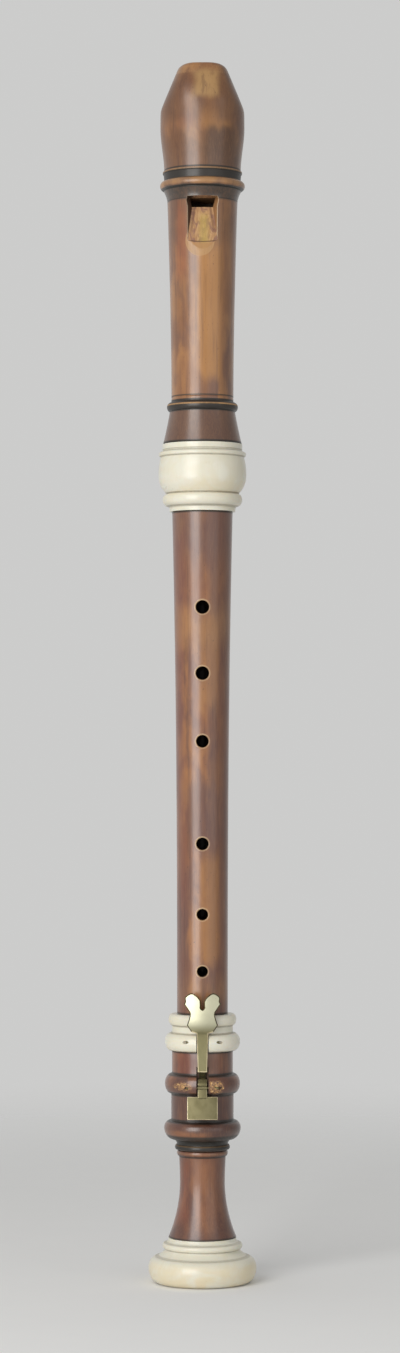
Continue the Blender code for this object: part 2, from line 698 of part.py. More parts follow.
def make_windway_cutter():
    # A stretch of ring outside the bore, as wide as the windway, from the window to past the tip
    inner = HEAD_BORE_RADIUS - 2 * SEAT_GAP
    outer = HEAD_BORE_RADIUS + WINDWAY_HEIGHT - SEAT_GAP
    half_angle = math.asin(WINDWAY_WIDTH / 2 / outer)
    z_low = Z_BLOCK - SEAT_GAP
    z_high = Z_TIP + SEAT_GAP
    bm = bmesh.new()
    corners = ((inner, z_low), (outer, z_low), (outer, z_high), (inner, z_high))
    face = bm.faces.new([bm.verts.new((radius, 0, z)) for radius, z in corners])
    turn = Matrix.Rotation(-math.pi / 2 - half_angle, 3, "Z")
    bmesh.ops.rotate(bm, cent=(0, 0, 0), matrix=turn, verts=bm.verts)
    bmesh.ops.spin(bm, geom=[face], cent=(0, 0, 0), axis=(0, 0, 1), angle=2 * half_angle, steps=6)
    bmesh.ops.remove_doubles(bm, verts=bm.verts, dist=1e-6)
    bmesh.ops.recalc_face_normals(bm, faces=bm.faces)
    return make_cutter("windway_cutter", bm)


def make_window_cutter():
    # The mouth through the wall, and the ramp that falls from the outside to the labium's edge
    lip_y = -(HEAD_BORE_RADIUS + LABIUM_THICKNESS)
    inner_y = -HEAD_BORE_RADIUS / 2
    outer_y = -BIG_BEAD_RADIUS - SEAT_GAP
    z_lip = Z_BLOCK - CUT_UP
    beyond = (outer_y - lip_y) / (-BODY_TOP_RADIUS - lip_y)
    mouth = WINDWAY_WIDTH / 2
    lip = LABIUM_WIDTH / 2
    edge = WINDOW_WIDTH / 2
    edge_y = -math.sqrt(BODY_TOP_RADIUS ** 2 - edge ** 2)
    splay = (outer_y - lip_y) / (edge_y - lip_y)
    corners = (
        (inner_y, Z_BLOCK, mouth),
        (inner_y, z_lip, lip),
        (lip_y, z_lip, lip),
        (outer_y, z_lip - RAMP_LENGTH * beyond, lip + (RAMP_END_WIDTH / 2 - lip) * beyond),
        (outer_y, z_lip, lip + (edge - lip) * splay),
        (outer_y, Z_BLOCK, mouth + (edge - mouth) * splay),
        (lip_y, Z_BLOCK, mouth),
    )
    bm = bmesh.new()
    right = [bm.verts.new((width, y, z)) for y, z, width in corners]
    left = [bm.verts.new((-width, y, z)) for y, z, width in corners]
    for a in range(len(corners)):
        b = (a + 1) % len(corners)
        bm.faces.new((right[a], right[b], left[b], left[a]))
    for side in (right, left):
        mouth_corners = [side[i] for i in (0, 1, 2, 6)]
        bm.faces.new(mouth_corners)
        bm.faces.new([side[i] for i in (2, 3, 4)])
        bm.faces.new([side[i] for i in (6, 2, 4)])
        bm.faces.new([side[i] for i in (6, 4, 5)])
    bmesh.ops.recalc_face_normals(bm, faces=bm.faces)
    return make_cutter("window_cutter", bm)


def make_head_joint(wood):
    outside = head_body_profile() + beak_profile()
    z_socket = Z_BULB + TENON_LENGTH + SEAT_GAP
    z_end = Z_BULB + BULB_LIP + SEAT_GAP
    profile = [(0, z_end), (HEAD_SPIGOT_RADIUS, z_end), (HEAD_SPIGOT_RADIUS, Z_HEAD)] + outside
    profile += [(0, Z_TIP)]
    shape = turned(profile)
    draw_in_beak(shape)
    head = make_object("head_joint", shape, wood)
    beak = make_beak_cutter()
    add_boolean(head, beak)

    z_past = Z_TIP + SEAT_GAP
    bore = [(0, Z_BULB), (HEAD_SOCKET_RADIUS, Z_BULB), (HEAD_SOCKET_RADIUS, z_socket)]
    bore += [(HEAD_BORE_RADIUS, z_socket), (HEAD_BORE_RADIUS, z_past), (0, z_past)]
    add_boolean(head, make_cutter("head_bore_cutter", turned(bore)))
    add_boolean(head, make_windway_cutter())
    add_boolean(head, make_window_cutter())
    return head, beak


def make_block(cedar, beak):
    # The plug is a slip fit in the bore and ends flush with the beak's outside
    profile = [(0, Z_BLOCK), (BLOCK_RADIUS - BLOCK_CHAMFER, Z_BLOCK)]
    profile += [(BLOCK_RADIUS, Z_BLOCK + BLOCK_CHAMFER), (BLOCK_RADIUS, Z_TIP), (0, Z_TIP)]
    block = make_object("block", turned(profile), cedar, (0, 0, Z_BLOCK))
    start = Z_BEAK + SIDE_TAPER_START
    outline = [(BULGE_RADIUS, Z_BLOCK - SEAT_GAP)] + [(BULGE_RADIUS, start)]
    outline += [(side_half_width(z), z) for z in beak_heights() if z > start]
    outline += [(-x, z) for x, z in outline[::-1]]
    sides = prism(outline, "Y", -BULGE_RADIUS, BULGE_RADIUS)
    add_boolean(block, make_cutter("block_side_cutter", sides), "INTERSECT")
    add_boolean(block, beak)
    return block


# Key

def pad_seat_y():
    # The pad's flat lies below the closed flap by the pad's thickness
    return PAD_AXLE.y + flap_back() + METAL_GAP + PAD_THICKNESS + SEAT_GAP


def flap_back():
    # Underside of the pad lever, in from its axle
    return PAD_SHANK_THICKNESS / 2 - METAL_GAP


def pad_centre_z():
    # The tone hole's height, under the middle of the closed pad
    return PAD_AXLE.z - FLAP_DROP - FLAP_LENGTH + PAD_EDGE + PAD_LENGTH / 2


def tongue_front():
    # The tongue lies just under the nose of the open pad lever
    nose = flap_back() * math.cos(PAD_OPEN_ANGLE) + NOSE_REACH * math.sin(PAD_OPEN_ANGLE)
    return PAD_AXLE.y + nose + LEVER_PLAY


def key_slot_floor():
    return tongue_front() + TONGUE_THICKNESS + SEAT_GAP


def nose_height():
    # Top of the open pad lever's nose
    return PAD_AXLE.z + NOSE_REACH * math.cos(PAD_OPEN_ANGLE)


def make_axle_cutter(name, axle):
    reach = Vector((FLAP_WIDTH + KEY_RING_RADIUS, 0, 0))
    return make_cutter(name, add_rod(bmesh.new(), AXLE_HOLE_RADIUS, axle - reach, axle + reach))


def make_axle(name, brass, axle, ring_radius):
    # A wire pin that ends flush with the ring that it goes through
    half = math.sqrt(ring_radius ** 2 - axle.y ** 2)
    pin = add_rod(bmesh.new(), AXLE_RADIUS, axle - Vector((half, 0, 0)), axle + Vector((half, 0, 0)))
    return make_object(name, pin, brass, axle)


def touch_outline():
    # Right half of the touch from the front: notch, lobe, point, waist, hip, heel, shank and tongue
    top = TOUCH_REACH
    lobe = TOUCH_WIDTH / 2
    point = POINT_WIDTH / 2
    notch = top - NOTCH_DEPTH
    z_point = top - POINT_DROP
    z_waist = top - WAIST_DROP
    lobe_knots = [
        (NOTCH_RADIUS, notch + NOTCH_RADIUS),
        (0.12 * lobe, top - 0.44 * NOTCH_DEPTH),
        (0.36 * lobe, top - 0.12 * NOTCH_DEPTH),
        (0.64 * lobe, top),
        (0.95 * lobe, top - 0.36 * POINT_DROP),
        (0.95 * lobe, top - 0.78 * POINT_DROP),
        (point, z_point),
    ]
    side_knots = [
        (point, z_point),
        (0.80 * point, (z_point + z_waist) / 2),
        (WAIST_WIDTH / 2, z_waist),
        (HIP_WIDTH / 2, top - HIP_DROP),
    ]
    points = [(0, notch)] + spline(lobe_knots, 3) + spline(side_knots, 3)[1:]
    points += [(HEEL_WIDTH / 2, top - HEEL_DROP), (SHANK_WIDTH / 2, top - NECK_DROP)]
    points += [(SHANK_END_WIDTH / 2, -SHANK_REACH), (TONGUE_WIDTH / 2, -SHANK_REACH)]
    points += [(TONGUE_WIDTH / 2, tongue_end())]
    return points


def tongue_end():
    # Height of the tongue's end under the pad lever's nose, up from the touch lever's axle
    return nose_height() - TOUCH_AXLE.z - TONGUE_LAP


def touch_back():
    # Underside of the touch's plate, in from the lever's axle
    return -FERRULE_TOP_RADIUS - TOUCH_CLEARANCE - TOUCH_AXLE.y


def touch_side():
    # The touch lever seen from the side, as (in from the axle, up from the axle)
    front = -AXLE_DEPTH - SHANK_PROUD
    back = front + SHANK_THICKNESS
    plate = touch_back() - TOUCH_THICKNESS
    tongue = tongue_front() - TOUCH_AXLE.y
    tongue_back = tongue + TONGUE_THICKNESS
    z_low = tongue_end()
    z_foot = -SHANK_REACH + SHANK_THICKNESS
    top = TOUCH_REACH
    z_bend = top - NECK_DROP - NECK_BEND
    knots = [
        (front, z_bend),
        (0.65 * front + 0.35 * plate, z_bend + 1.5 * NECK_BEND),
        (plate + 0.18 * TOUCH_DISH, top - TOUCH_BELLY_DROP),
        (plate, top - TOUCH_CREST_DROP),
        (plate + 0.24 * TOUCH_DISH, top - POINT_DROP),
        (plate + TOUCH_DISH, top),
    ]
    face = spline(knots, 3)
    outline = [(tongue_back, z_low), (tongue, z_low), (tongue, -SHANK_REACH), (front, -SHANK_REACH)]
    outline += face
    outline += [(y + TOUCH_THICKNESS, z) for y, z in face[:0:-1]]
    outline += [(back, z_bend - 0.4 * NECK_BEND), (back, LUG_RADIUS)]
    outline += lug_arc(1)
    outline += [(back, -LUG_RADIUS), (back, z_foot), (tongue_back, z_foot)]
    return outline


def lug_arc(way):
    # Half round under a lever, centred on its axle; way is 1 going down and -1 going up
    steps = 6
    angles = [way * (math.pi / 2 - math.pi * i / steps) for i in range(steps + 1)]
    return [(LUG_RADIUS * math.cos(a), LUG_RADIUS * math.sin(a)) for a in angles]


def make_lever(name, brass, outline, side, axle):
    # What the outline seen from the front and the outline seen from the side have in common
    wide = 2 * FLAP_WIDTH
    mirrored = outline + [(-x, z) for x, z in outline[::-1] if x > 0]
    front = prism(mirrored, "Y", -wide, wide)
    lever = make_object(name, front, brass)
    sides = make_cutter(name + "_side_cutter", prism(side, "X", -wide, wide))
    rod = add_rod(bmesh.new(), AXLE_HOLE_RADIUS, (-wide, 0, 0), (wide, 0, 0))
    bore = make_cutter(name + "_bore_cutter", rod)
    add_boolean(lever, sides, "INTERSECT")
    add_boolean(lever, bore)
    for helper in (sides, bore):
        helper.parent = lever
    lever.location = axle
    return lever


def make_rivet(name, brass, lever, spring, back, thickness, z):
    # Its head holds the leaf spring to the lever's underside, and its shank goes through both
    shank = thickness + SPRING_THICKNESS + 2 * METAL_GAP
    head = shank + RIVET_HEAD_HEIGHT
    profile = [(0, 0), (RIVET_RADIUS, 0), (RIVET_RADIUS, shank), (RIVET_HEAD_RADIUS, shank)]
    profile += [(RIVET_HEAD_RADIUS, head), (0, head)]
    shape = turned(profile, PIN_SIDES)
    front = back - thickness
    inwards = Matrix.Rotation(-math.pi / 2, 3, "X")
    bmesh.ops.rotate(shape, cent=(0, 0, 0), matrix=inwards, verts=shape.verts)
    bmesh.ops.translate(shape, vec=(0, front, z), verts=shape.verts)
    rivet = make_object(name, shape, brass)
    hole = add_rod(bmesh.new(), RIVET_RADIUS + PIN_GAP, (0, front - thickness, z), (0, front + head, z))
    cutter = make_cutter(name + "_cutter", hole)
    add_boolean(lever, cutter)
    add_boolean(spring, cutter)
    for piece in (rivet, cutter):
        piece.parent = lever
    return rivet


def make_touch_lever(brass):
    return make_lever("touch_lever", brass, touch_outline(), touch_side(), TOUCH_AXLE)


def pad_outline():
    flap_top = -FLAP_DROP
    flap_low = flap_top - FLAP_LENGTH
    half = PAD_SHANK_WIDTH / 2
    return [
        (half, NOSE_REACH), (half, flap_top), (FLAP_WIDTH / 2, flap_top), (FLAP_WIDTH / 2, flap_low),
    ]


def pad_side():
    back = flap_back()
    front = back - PAD_SHANK_THICKNESS
    flap_front = back - FLAP_THICKNESS
    flap_low = -FLAP_DROP - FLAP_LENGTH
    outline = [(back, flap_low), (flap_front, flap_low), (flap_front, -FLAP_DROP), (front, -FLAP_DROP)]
    outline += [(front, NOSE_REACH / 2), (back - NOSE_TIP_THICKNESS, NOSE_REACH), (back, NOSE_REACH)]
    outline += [(back, LUG_RADIUS)] + lug_arc(1) + [(back, -LUG_RADIUS)]
    return outline


def make_pad_lever(brass):
    lever = make_lever("pad_lever", brass, pad_outline(), pad_side(), PAD_AXLE)
    lever.rotation_euler.x = -PAD_OPEN_ANGLE
    return lever


def make_key_pad(leather, lever):
    z_low = -FLAP_DROP - FLAP_LENGTH + PAD_EDGE
    y_low = flap_back() + METAL_GAP
    shape = box((-PAD_WIDTH / 2, y_low, z_low), (PAD_WIDTH / 2, y_low + PAD_THICKNESS, z_low + PAD_LENGTH))
    corners = [e for e in shape.edges if abs(e.verts[0].co.y - e.verts[1].co.y) > PAD_THICKNESS / 2]
    bmesh.ops.bevel(
        shape, geom=corners, offset=PAD_CORNER, offset_type="OFFSET", segments=3, profile=0.5,
        affect="EDGES", material=-1,
    )
    pad = make_object("key_pad", shape, leather)
    pad.parent = lever
    return pad


def leaf(path, width):
    # A strip of spring brass that follows a path of (in, up) at its mid thickness
    left = []
    right = []
    for i, point in enumerate(path):
        before = Vector(path[max(0, i - 1)])
        after = Vector(path[min(len(path) - 1, i + 1)])
        along = (after - before).normalized()
        square = Vector((-along.y, along.x)) * SPRING_THICKNESS / 2
        left.append(tuple(Vector(point) + square))
        right.append(tuple(Vector(point) - square))
    return prism(left + right[::-1], "X", -width / 2, width / 2)


def make_touch_spring(steel, lever):
    # From its rivet under the touch down to the ferrule's waist
    root = touch_back() + METAL_GAP + SPRING_THICKNESS / 2
    z_root = TOUCH_REACH - TOUCH_RIVET_DROP
    z_tip = Z_FERRULE_WAIST + FERRULE_WAIST_HEIGHT * 0.3 - TOUCH_AXLE.z
    tip = -FERRULE_WAIST_RADIUS - SEAT_GAP - SPRING_THICKNESS / 2 - TOUCH_AXLE.y
    start = (root, z_root - SPRING_ROOT)
    end = (tip, z_tip)
    path = [(root, z_root + SPRING_ROOT), start]
    handle = (start[1] - end[1]) / 3
    leaving = (start[0], start[1] - handle)
    arriving = (end[0] - 0.4 * handle, end[1] + handle)
    path += bezier(start, leaving, arriving, end, CURVE_STEPS)
    spring = make_object("touch_spring", leaf(path, TOUCH_SPRING_WIDTH), steel)
    spring.parent = lever
    return spring, z_root


def make_pad_spring(steel, lever):
    # From its rivet at the flap's top up to the floor of the slot, past the axle
    root = flap_back() + METAL_GAP + SPRING_THICKNESS / 2
    z_root = -FLAP_DROP - FLAP_LENGTH + PAD_EDGE + PAD_LENGTH + METAL_GAP
    z_root_top = z_root + 2 * SPRING_ROOT
    floor = key_slot_floor() - SEAT_GAP - SPRING_THICKNESS / 2
    reach = Vector((floor - PAD_AXLE.y, Z_KEY_RING + 0.6 * KEY_RING_HEIGHT - PAD_AXLE.z))
    cos = math.cos(PAD_OPEN_ANGLE)
    sin = math.sin(PAD_OPEN_ANGLE)
    end = (reach.x * cos - reach.y * sin, reach.x * sin + reach.y * cos)
    start = (root, z_root_top)
    handle = (end[1] - start[1]) / 3
    path = [(root, z_root), start]
    leaving = (start[0], start[1] + handle)
    arriving = (end[0] + handle * sin, end[1] - handle * cos)
    path += bezier(start, leaving, arriving, end, CURVE_STEPS)
    spring = make_object("pad_spring", leaf(path, PAD_SPRING_WIDTH), steel)
    spring.parent = lever
    return spring, (z_root + z_root_top) / 2


def build_recorder():
    wood = make_material("stained_boxwood", (0.30, 0.13, 0.055), 0.38)
    cedar = make_material("cedar", (0.45, 0.27, 0.14), 0.6)
    ivory = make_material("ivory", (0.83, 0.79, 0.66), 0.3)
    brass = make_material("brass", (0.55, 0.50, 0.30), 0.35, 1.0)
    steel = make_material("spring_steel", (0.36, 0.35, 0.33), 0.4, 1.0)
    thread = make_material("thread", (0.72, 0.62, 0.45), 0.8)
    leather = make_material("leather", (0.60, 0.47, 0.33), 0.75)

    middle = make_middle_joint(wood)
    upper = make_lapping(
        "upper_tenon_lapping", thread, UPPER_TENON_RADIUS, Z_SHOULDER, Z_SHOULDER + TENON_LENGTH,
    )
    lower = make_lapping(
        "lower_tenon_lapping", thread, LOWER_TENON_RADIUS, Z_MIDDLE, Z_MIDDLE - TENON_LENGTH,
    )
    head, beak = make_head_joint(wood)
    head_ring = make_head_socket_ring(ivory)
    block = make_block(cedar, beak)
    foot = make_foot_joint(wood)
    foot_ring = make_foot_socket_ring(ivory)
    bell = make_bell_ring(ivory)
    touch_axle = make_axle("touch_axle", brass, TOUCH_AXLE, FERRULE_BEAD_RADIUS)
    pad_axle = make_axle("pad_axle", brass, PAD_AXLE, KEY_RING_RADIUS)

    touch = make_touch_lever(brass)
    touch_spring, z = make_touch_spring(steel, touch)
    make_rivet("touch_spring_rivet", brass, touch, touch_spring, touch_back(), TOUCH_THICKNESS, z)
    pad_lever = make_pad_lever(brass)
    make_key_pad(leather, pad_lever)
    pad_spring, z = make_pad_spring(steel, pad_lever)
    make_rivet("pad_spring_rivet", brass, pad_lever, pad_spring, flap_back(), FLAP_THICKNESS, z)

    for piece, carrier in (
        (upper, middle), (lower, middle), (head, upper), (head_ring, head), (block, head),
        (foot, lower), (foot_ring, foot), (bell, foot), (touch_axle, foot), (pad_axle, foot),
        (touch, foot), (pad_lever, foot),
    ):
        attach(piece, carrier)
    for piece in (foot, foot_ring, touch, pad_lever):
        flatten_shading(piece)


clear_scene()
build_recorder()
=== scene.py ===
import math
from functools import reduce

import bmesh
import bpy
from mathutils import Matrix, Vector


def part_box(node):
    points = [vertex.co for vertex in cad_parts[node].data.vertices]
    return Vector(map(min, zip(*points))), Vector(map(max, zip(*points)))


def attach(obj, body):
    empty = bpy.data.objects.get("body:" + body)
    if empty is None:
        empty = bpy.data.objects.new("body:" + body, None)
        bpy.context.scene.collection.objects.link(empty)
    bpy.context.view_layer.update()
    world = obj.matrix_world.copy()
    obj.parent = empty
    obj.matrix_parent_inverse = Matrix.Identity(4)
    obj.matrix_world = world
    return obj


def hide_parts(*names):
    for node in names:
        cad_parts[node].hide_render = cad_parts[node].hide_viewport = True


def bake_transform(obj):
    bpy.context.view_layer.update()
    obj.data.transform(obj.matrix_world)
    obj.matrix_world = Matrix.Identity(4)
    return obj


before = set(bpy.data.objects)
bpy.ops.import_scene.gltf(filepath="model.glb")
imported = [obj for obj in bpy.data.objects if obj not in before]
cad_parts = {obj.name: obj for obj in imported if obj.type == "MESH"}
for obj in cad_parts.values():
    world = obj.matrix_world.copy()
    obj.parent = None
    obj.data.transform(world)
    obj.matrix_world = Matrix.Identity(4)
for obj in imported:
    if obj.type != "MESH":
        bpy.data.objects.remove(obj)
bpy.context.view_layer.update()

mm = 0.001
gap = 0.3  # between two seated pieces, in millimetres

turning = {
    "facets": 144,  # round a joint or a mount
    "holeFacets": 48,
    "arcSteps": 8,
    "edgeRound": 0.28,  # millimetres taken off each turned corner
    "cornerAngle": 25,  # degrees from which a corner is rounded
    "sharpAngle": 32,  # degrees from which an edge is shaded sharp
}


# Heights along the bore, in millimetres, read from the frame

def heightOf(node, end):
    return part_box(node)[end].z / mm


zFerrule = heightOf("foot_socket_ring", 0)
zFootTop = heightOf("foot_socket_ring", 1)
zMiddle = zFootTop + gap
zBulb = heightOf("head_socket_ring", 0)
zShoulder = zBulb - gap
zHead = heightOf("head_socket_ring", 1) + gap
zBlock = heightOf("block", 0)
zTip = heightOf("head_joint", 1)


# Curves of a turned profile: each gives the points after a, up to and including b

def evenSteps(steps, end=1.0):
    return [end * i / steps for i in range(1, steps + 1)]


def arrive(a, b, power, steps):
    return [(b[0] + (a[0] - b[0]) * (1 - t) ** power, a[1] + (b[1] - a[1]) * t) for t in evenSteps(steps)]


def leave(a, b, power, steps):
    return [(a[0] + (b[0] - a[0]) * t ** power, a[1] + (b[1] - a[1]) * t) for t in evenSteps(steps)]


def rise(a, b, steps=turning["arcSteps"]):
    wide, high = b[0] - a[0], b[1] - a[1]
    turns = evenSteps(steps, math.pi / 2)
    return [(a[0] + wide * math.sin(t), a[1] + high * (1 - math.cos(t))) for t in turns]


def fall(a, b, steps=turning["arcSteps"]):
    wide, high = b[0] - a[0], b[1] - a[1]
    turns = evenSteps(steps, math.pi / 2)
    return [(a[0] + wide * (1 - math.cos(t)), a[1] + high * math.sin(t)) for t in turns]


def bead(a, crest, b, share=0.5, steps=turning["arcSteps"]):
    top = (crest, a[1] + (b[1] - a[1]) * share)
    return rise(a, top, steps) + fall(top, b, steps)


def bezier(a, b, c, d, steps):
    points = []
    for t in evenSteps(steps):
        s = 1 - t
        weights = (s ** 3, 3 * s * s * t, 3 * s * t * t, t ** 3)
        points.append(tuple(sum(w * p[k] for w, p in zip(weights, (a, b, c, d))) for k in (0, 1)))
    return points


def spline(knots, steps):
    ends = [knots[0]] + list(knots) + [knots[-1]]
    points = [knots[0]]
    for i in range(1, len(ends) - 2):
        p0, p1, p2, p3 = ends[i - 1:i + 3]
        b = tuple(p1[k] + (p2[k] - p0[k]) / 6 for k in (0, 1))
        c = tuple(p2[k] - (p3[k] - p1[k]) / 6 for k in (0, 1))
        points += bezier(p1, b, c, p2, steps)
    return points


def scored(radius, z, width=0.5, depth=0.22):
    # A fine line cut by the point of a skew chisel
    return [(radius, z - width / 2), (radius - depth, z), (radius, z + width / 2)]


def softCorners(profile, radius=turning["edgeRound"], steps=3):
    # Marked corners get a small round
    result = [profile[0]]
    for before, corner, after in zip(profile, profile[1:], profile[2:]):
        here = Vector(corner)
        back = Vector(before) - here
        ahead = Vector(after) - here
        tiny = min(back.length, ahead.length) < 1e-4
        if tiny or math.degrees(back.angle(-ahead)) < turning["cornerAngle"]:
            result.append(corner)
            continue
        start = here + back.normalized() * min(radius, 0.4 * back.length)
        end = here + ahead.normalized() * min(radius, 0.4 * ahead.length)
        for i in range(steps + 1):
            t = i / steps
            result.append(tuple(start * (1 - t) ** 2 + here * 2 * t * (1 - t) + end * t * t))
    return result + [profile[-1]]


def lerp(points, at):
    # Height of a curve of (value, at) pairs, taken straight between its points
    ordered = sorted(points, key=lambda point: point[1])
    if at <= ordered[0][1]:
        return ordered[0][0]
    for low, high in zip(ordered, ordered[1:]):
        if at <= high[1]:
            share = (at - low[1]) / max(1e-9, high[1] - low[1])
            return low[0] + (high[0] - low[0]) * share
    return ordered[-1][0]


# Mesh tools

def spinProfile(profile, facets=turning["facets"]):
    # A profile of (radius, height) turned round the bore; its ends may lie on the axis
    bm = bmesh.new()
    verts = [bm.verts.new((radius, 0, height)) for radius, height in profile]
    onAxis = profile[0][0] == 0
    for a, b in zip(verts, verts[1:] + ([] if onAxis else verts[:1])):
        bm.edges.new((a, b))
    bmesh.ops.spin(
        bm, geom=bm.verts[:] + bm.edges[:], cent=(0, 0, 0), axis=(0, 0, 1),
        angle=2 * math.pi, steps=facets, use_merge=True,
    )
    bmesh.ops.remove_doubles(bm, verts=bm.verts, dist=1e-3)
    bmesh.ops.recalc_face_normals(bm, faces=bm.faces)
    return bm


def pushOut(bm, faces, step):
    # The faces are doubled, moved by the step and joined by walls
    grown = bmesh.ops.extrude_face_region(bm, geom=faces)
    moved = [v for v in grown["geom"] if isinstance(v, bmesh.types.BMVert)]
    bmesh.ops.translate(bm, vec=step, verts=moved)


def turnMesh(bm, matrix):
    bmesh.ops.rotate(bm, cent=(0, 0, 0), matrix=matrix, verts=bm.verts)


def extrudeOutline(outline, axis, low, high):
    # An outline of (across, height) extruded along X or Y
    bm = bmesh.new()
    if axis == "X":
        verts = [bm.verts.new((low, across, height)) for across, height in outline]
        step = (high - low, 0, 0)
    else:
        verts = [bm.verts.new((across, low, height)) for across, height in outline]
        step = (0, high - low, 0)
    pushOut(bm, [bm.faces.new(verts)], step)
    bmesh.ops.recalc_face_normals(bm, faces=bm.faces)
    return bm


def boxMesh(low, high, edge=0.0):
    bm = bmesh.new()
    bmesh.ops.create_cube(bm, size=1.0)
    bmesh.ops.scale(bm, vec=Vector(high) - Vector(low), verts=bm.verts)
    bmesh.ops.translate(bm, vec=(Vector(low) + Vector(high)) / 2, verts=bm.verts)
    if edge:
        softenEdges(bm, bm.edges[:], edge)
    return bm


def rodMesh(radius, start, end, facets=turning["holeFacets"]):
    bm = bmesh.new()
    start = Vector(start)
    end = Vector(end)
    turn = (end - start).to_track_quat("Z", "Y").to_matrix().to_4x4()
    bmesh.ops.create_cone(
        bm, cap_ends=True, segments=facets, radius1=radius, radius2=radius,
        depth=(end - start).length, matrix=Matrix.Translation((start + end) / 2) @ turn,
    )
    return bm


def softenEdges(bm, edges, offset):
    bmesh.ops.bevel(
        bm, geom=edges, offset=offset, offset_type="OFFSET", segments=3, profile=0.5,
        affect="EDGES", material=-1, clamp_overlap=True,
    )


def paintFaces(bm, index, test):
    # Gives the faces whose middle and normal pass the test another of the piece's finishes
    bm.normal_update()
    for face in bm.faces:
        if test(face.calc_center_median(), face.normal):
            face.material_index = index


def shadeTurned(mesh):
    mesh.shade_smooth()
    mesh.set_sharp_from_angle(angle=math.radians(turning["sharpAngle"]))


def makeSolid(name, bm, looks, at=(0, 0, 0)):
    # Drawn in millimetres and put in place in metres
    bmesh.ops.translate(bm, vec=at, verts=bm.verts)
    bmesh.ops.scale(bm, vec=(mm, mm, mm), verts=bm.verts)
    mesh = bpy.data.meshes.new(name)
    bm.to_mesh(mesh)
    bm.free()
    for look in looks:
        mesh.materials.append(look)
    shadeTurned(mesh)
    solid = bpy.data.objects.new(name, mesh)
    bpy.context.scene.collection.objects.link(solid)
    return solid


def carve(piece, cutters, operation="DIFFERENCE"):
    # The cuts are made one after another and kept in the mesh; a cut face takes the cutter's finish
    for cutter in cutters:
        cut = piece.modifiers.new(cutter.name, "BOOLEAN")
        cut.operation = operation
        cut.solver = "EXACT"
        cut.material_mode = "TRANSFER"
        cut.object = cutter
    bpy.context.view_layer.update()
    graph = bpy.context.evaluated_depsgraph_get()
    carved = bpy.data.meshes.new_from_object(piece.evaluated_get(graph), depsgraph=graph)
    piece.modifiers.clear()
    plain = piece.data
    piece.data = carved
    bpy.data.meshes.remove(plain)
    carved.name = piece.name
    for cutter in cutters:
        bpy.data.objects.remove(cutter)
    bm = bmesh.new()
    bm.from_mesh(carved)
    bmesh.ops.remove_doubles(bm, verts=bm.verts, dist=1e-6)
    bmesh.ops.dissolve_degenerate(bm, edges=bm.edges, dist=1e-6)
    bmesh.ops.triangulate(bm, faces=[face for face in bm.faces if len(face.verts) > 4])
    bm.to_mesh(carved)
    bm.free()
    shadeTurned(carved)
    return piece


def seat(piece, body, nodes):
    # The finished piece rides on its body and stands for the solids of the frame
    if body:
        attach(piece, body)
    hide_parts(*nodes)
    return piece


# Shader maths: an expression on these signals adds its Math nodes

class Signal:
    def __init__(self, look, socket):
        self.look = look
        self.socket = socket

    def maths(self, operation, *values):
        node = self.look.add("ShaderNodeMath", {"operation": operation}, dict(enumerate(values)))
        return Signal(self.look, node.outputs[0])

    def __add__(self, other):
        return self.maths("ADD", self, other)

    def __radd__(self, other):
        return self.maths("ADD", other, self)

    def __sub__(self, other):
        return self.maths("SUBTRACT", self, other)

    def __rsub__(self, other):
        return self.maths("SUBTRACT", other, self)

    def __mul__(self, other):
        return self.maths("MULTIPLY", self, other)

    def __pow__(self, other):
        return self.maths("POWER", self, other)

    def __abs__(self):
        return self.maths("ABSOLUTE", self)

    def most(self, other):
        return self.maths("MAXIMUM", self, other)

    def least(self, other):
        return self.maths("MINIMUM", self, other)

    def fade(self, low, high):
        # 0 at low and 1 at high, smooth between; low may be the greater
        node = self.look.add(
            "ShaderNodeMapRange", {"interpolation_type": "SMOOTHSTEP"}, {0: self, 1: low, 2: high},
        )
        return Signal(self.look, node.outputs[0])

    def band(self, centre, half, soft):
        # 1 within half of the centre, and 0 further than soft outside that
        return abs(self - centre).fade(half + soft, half)


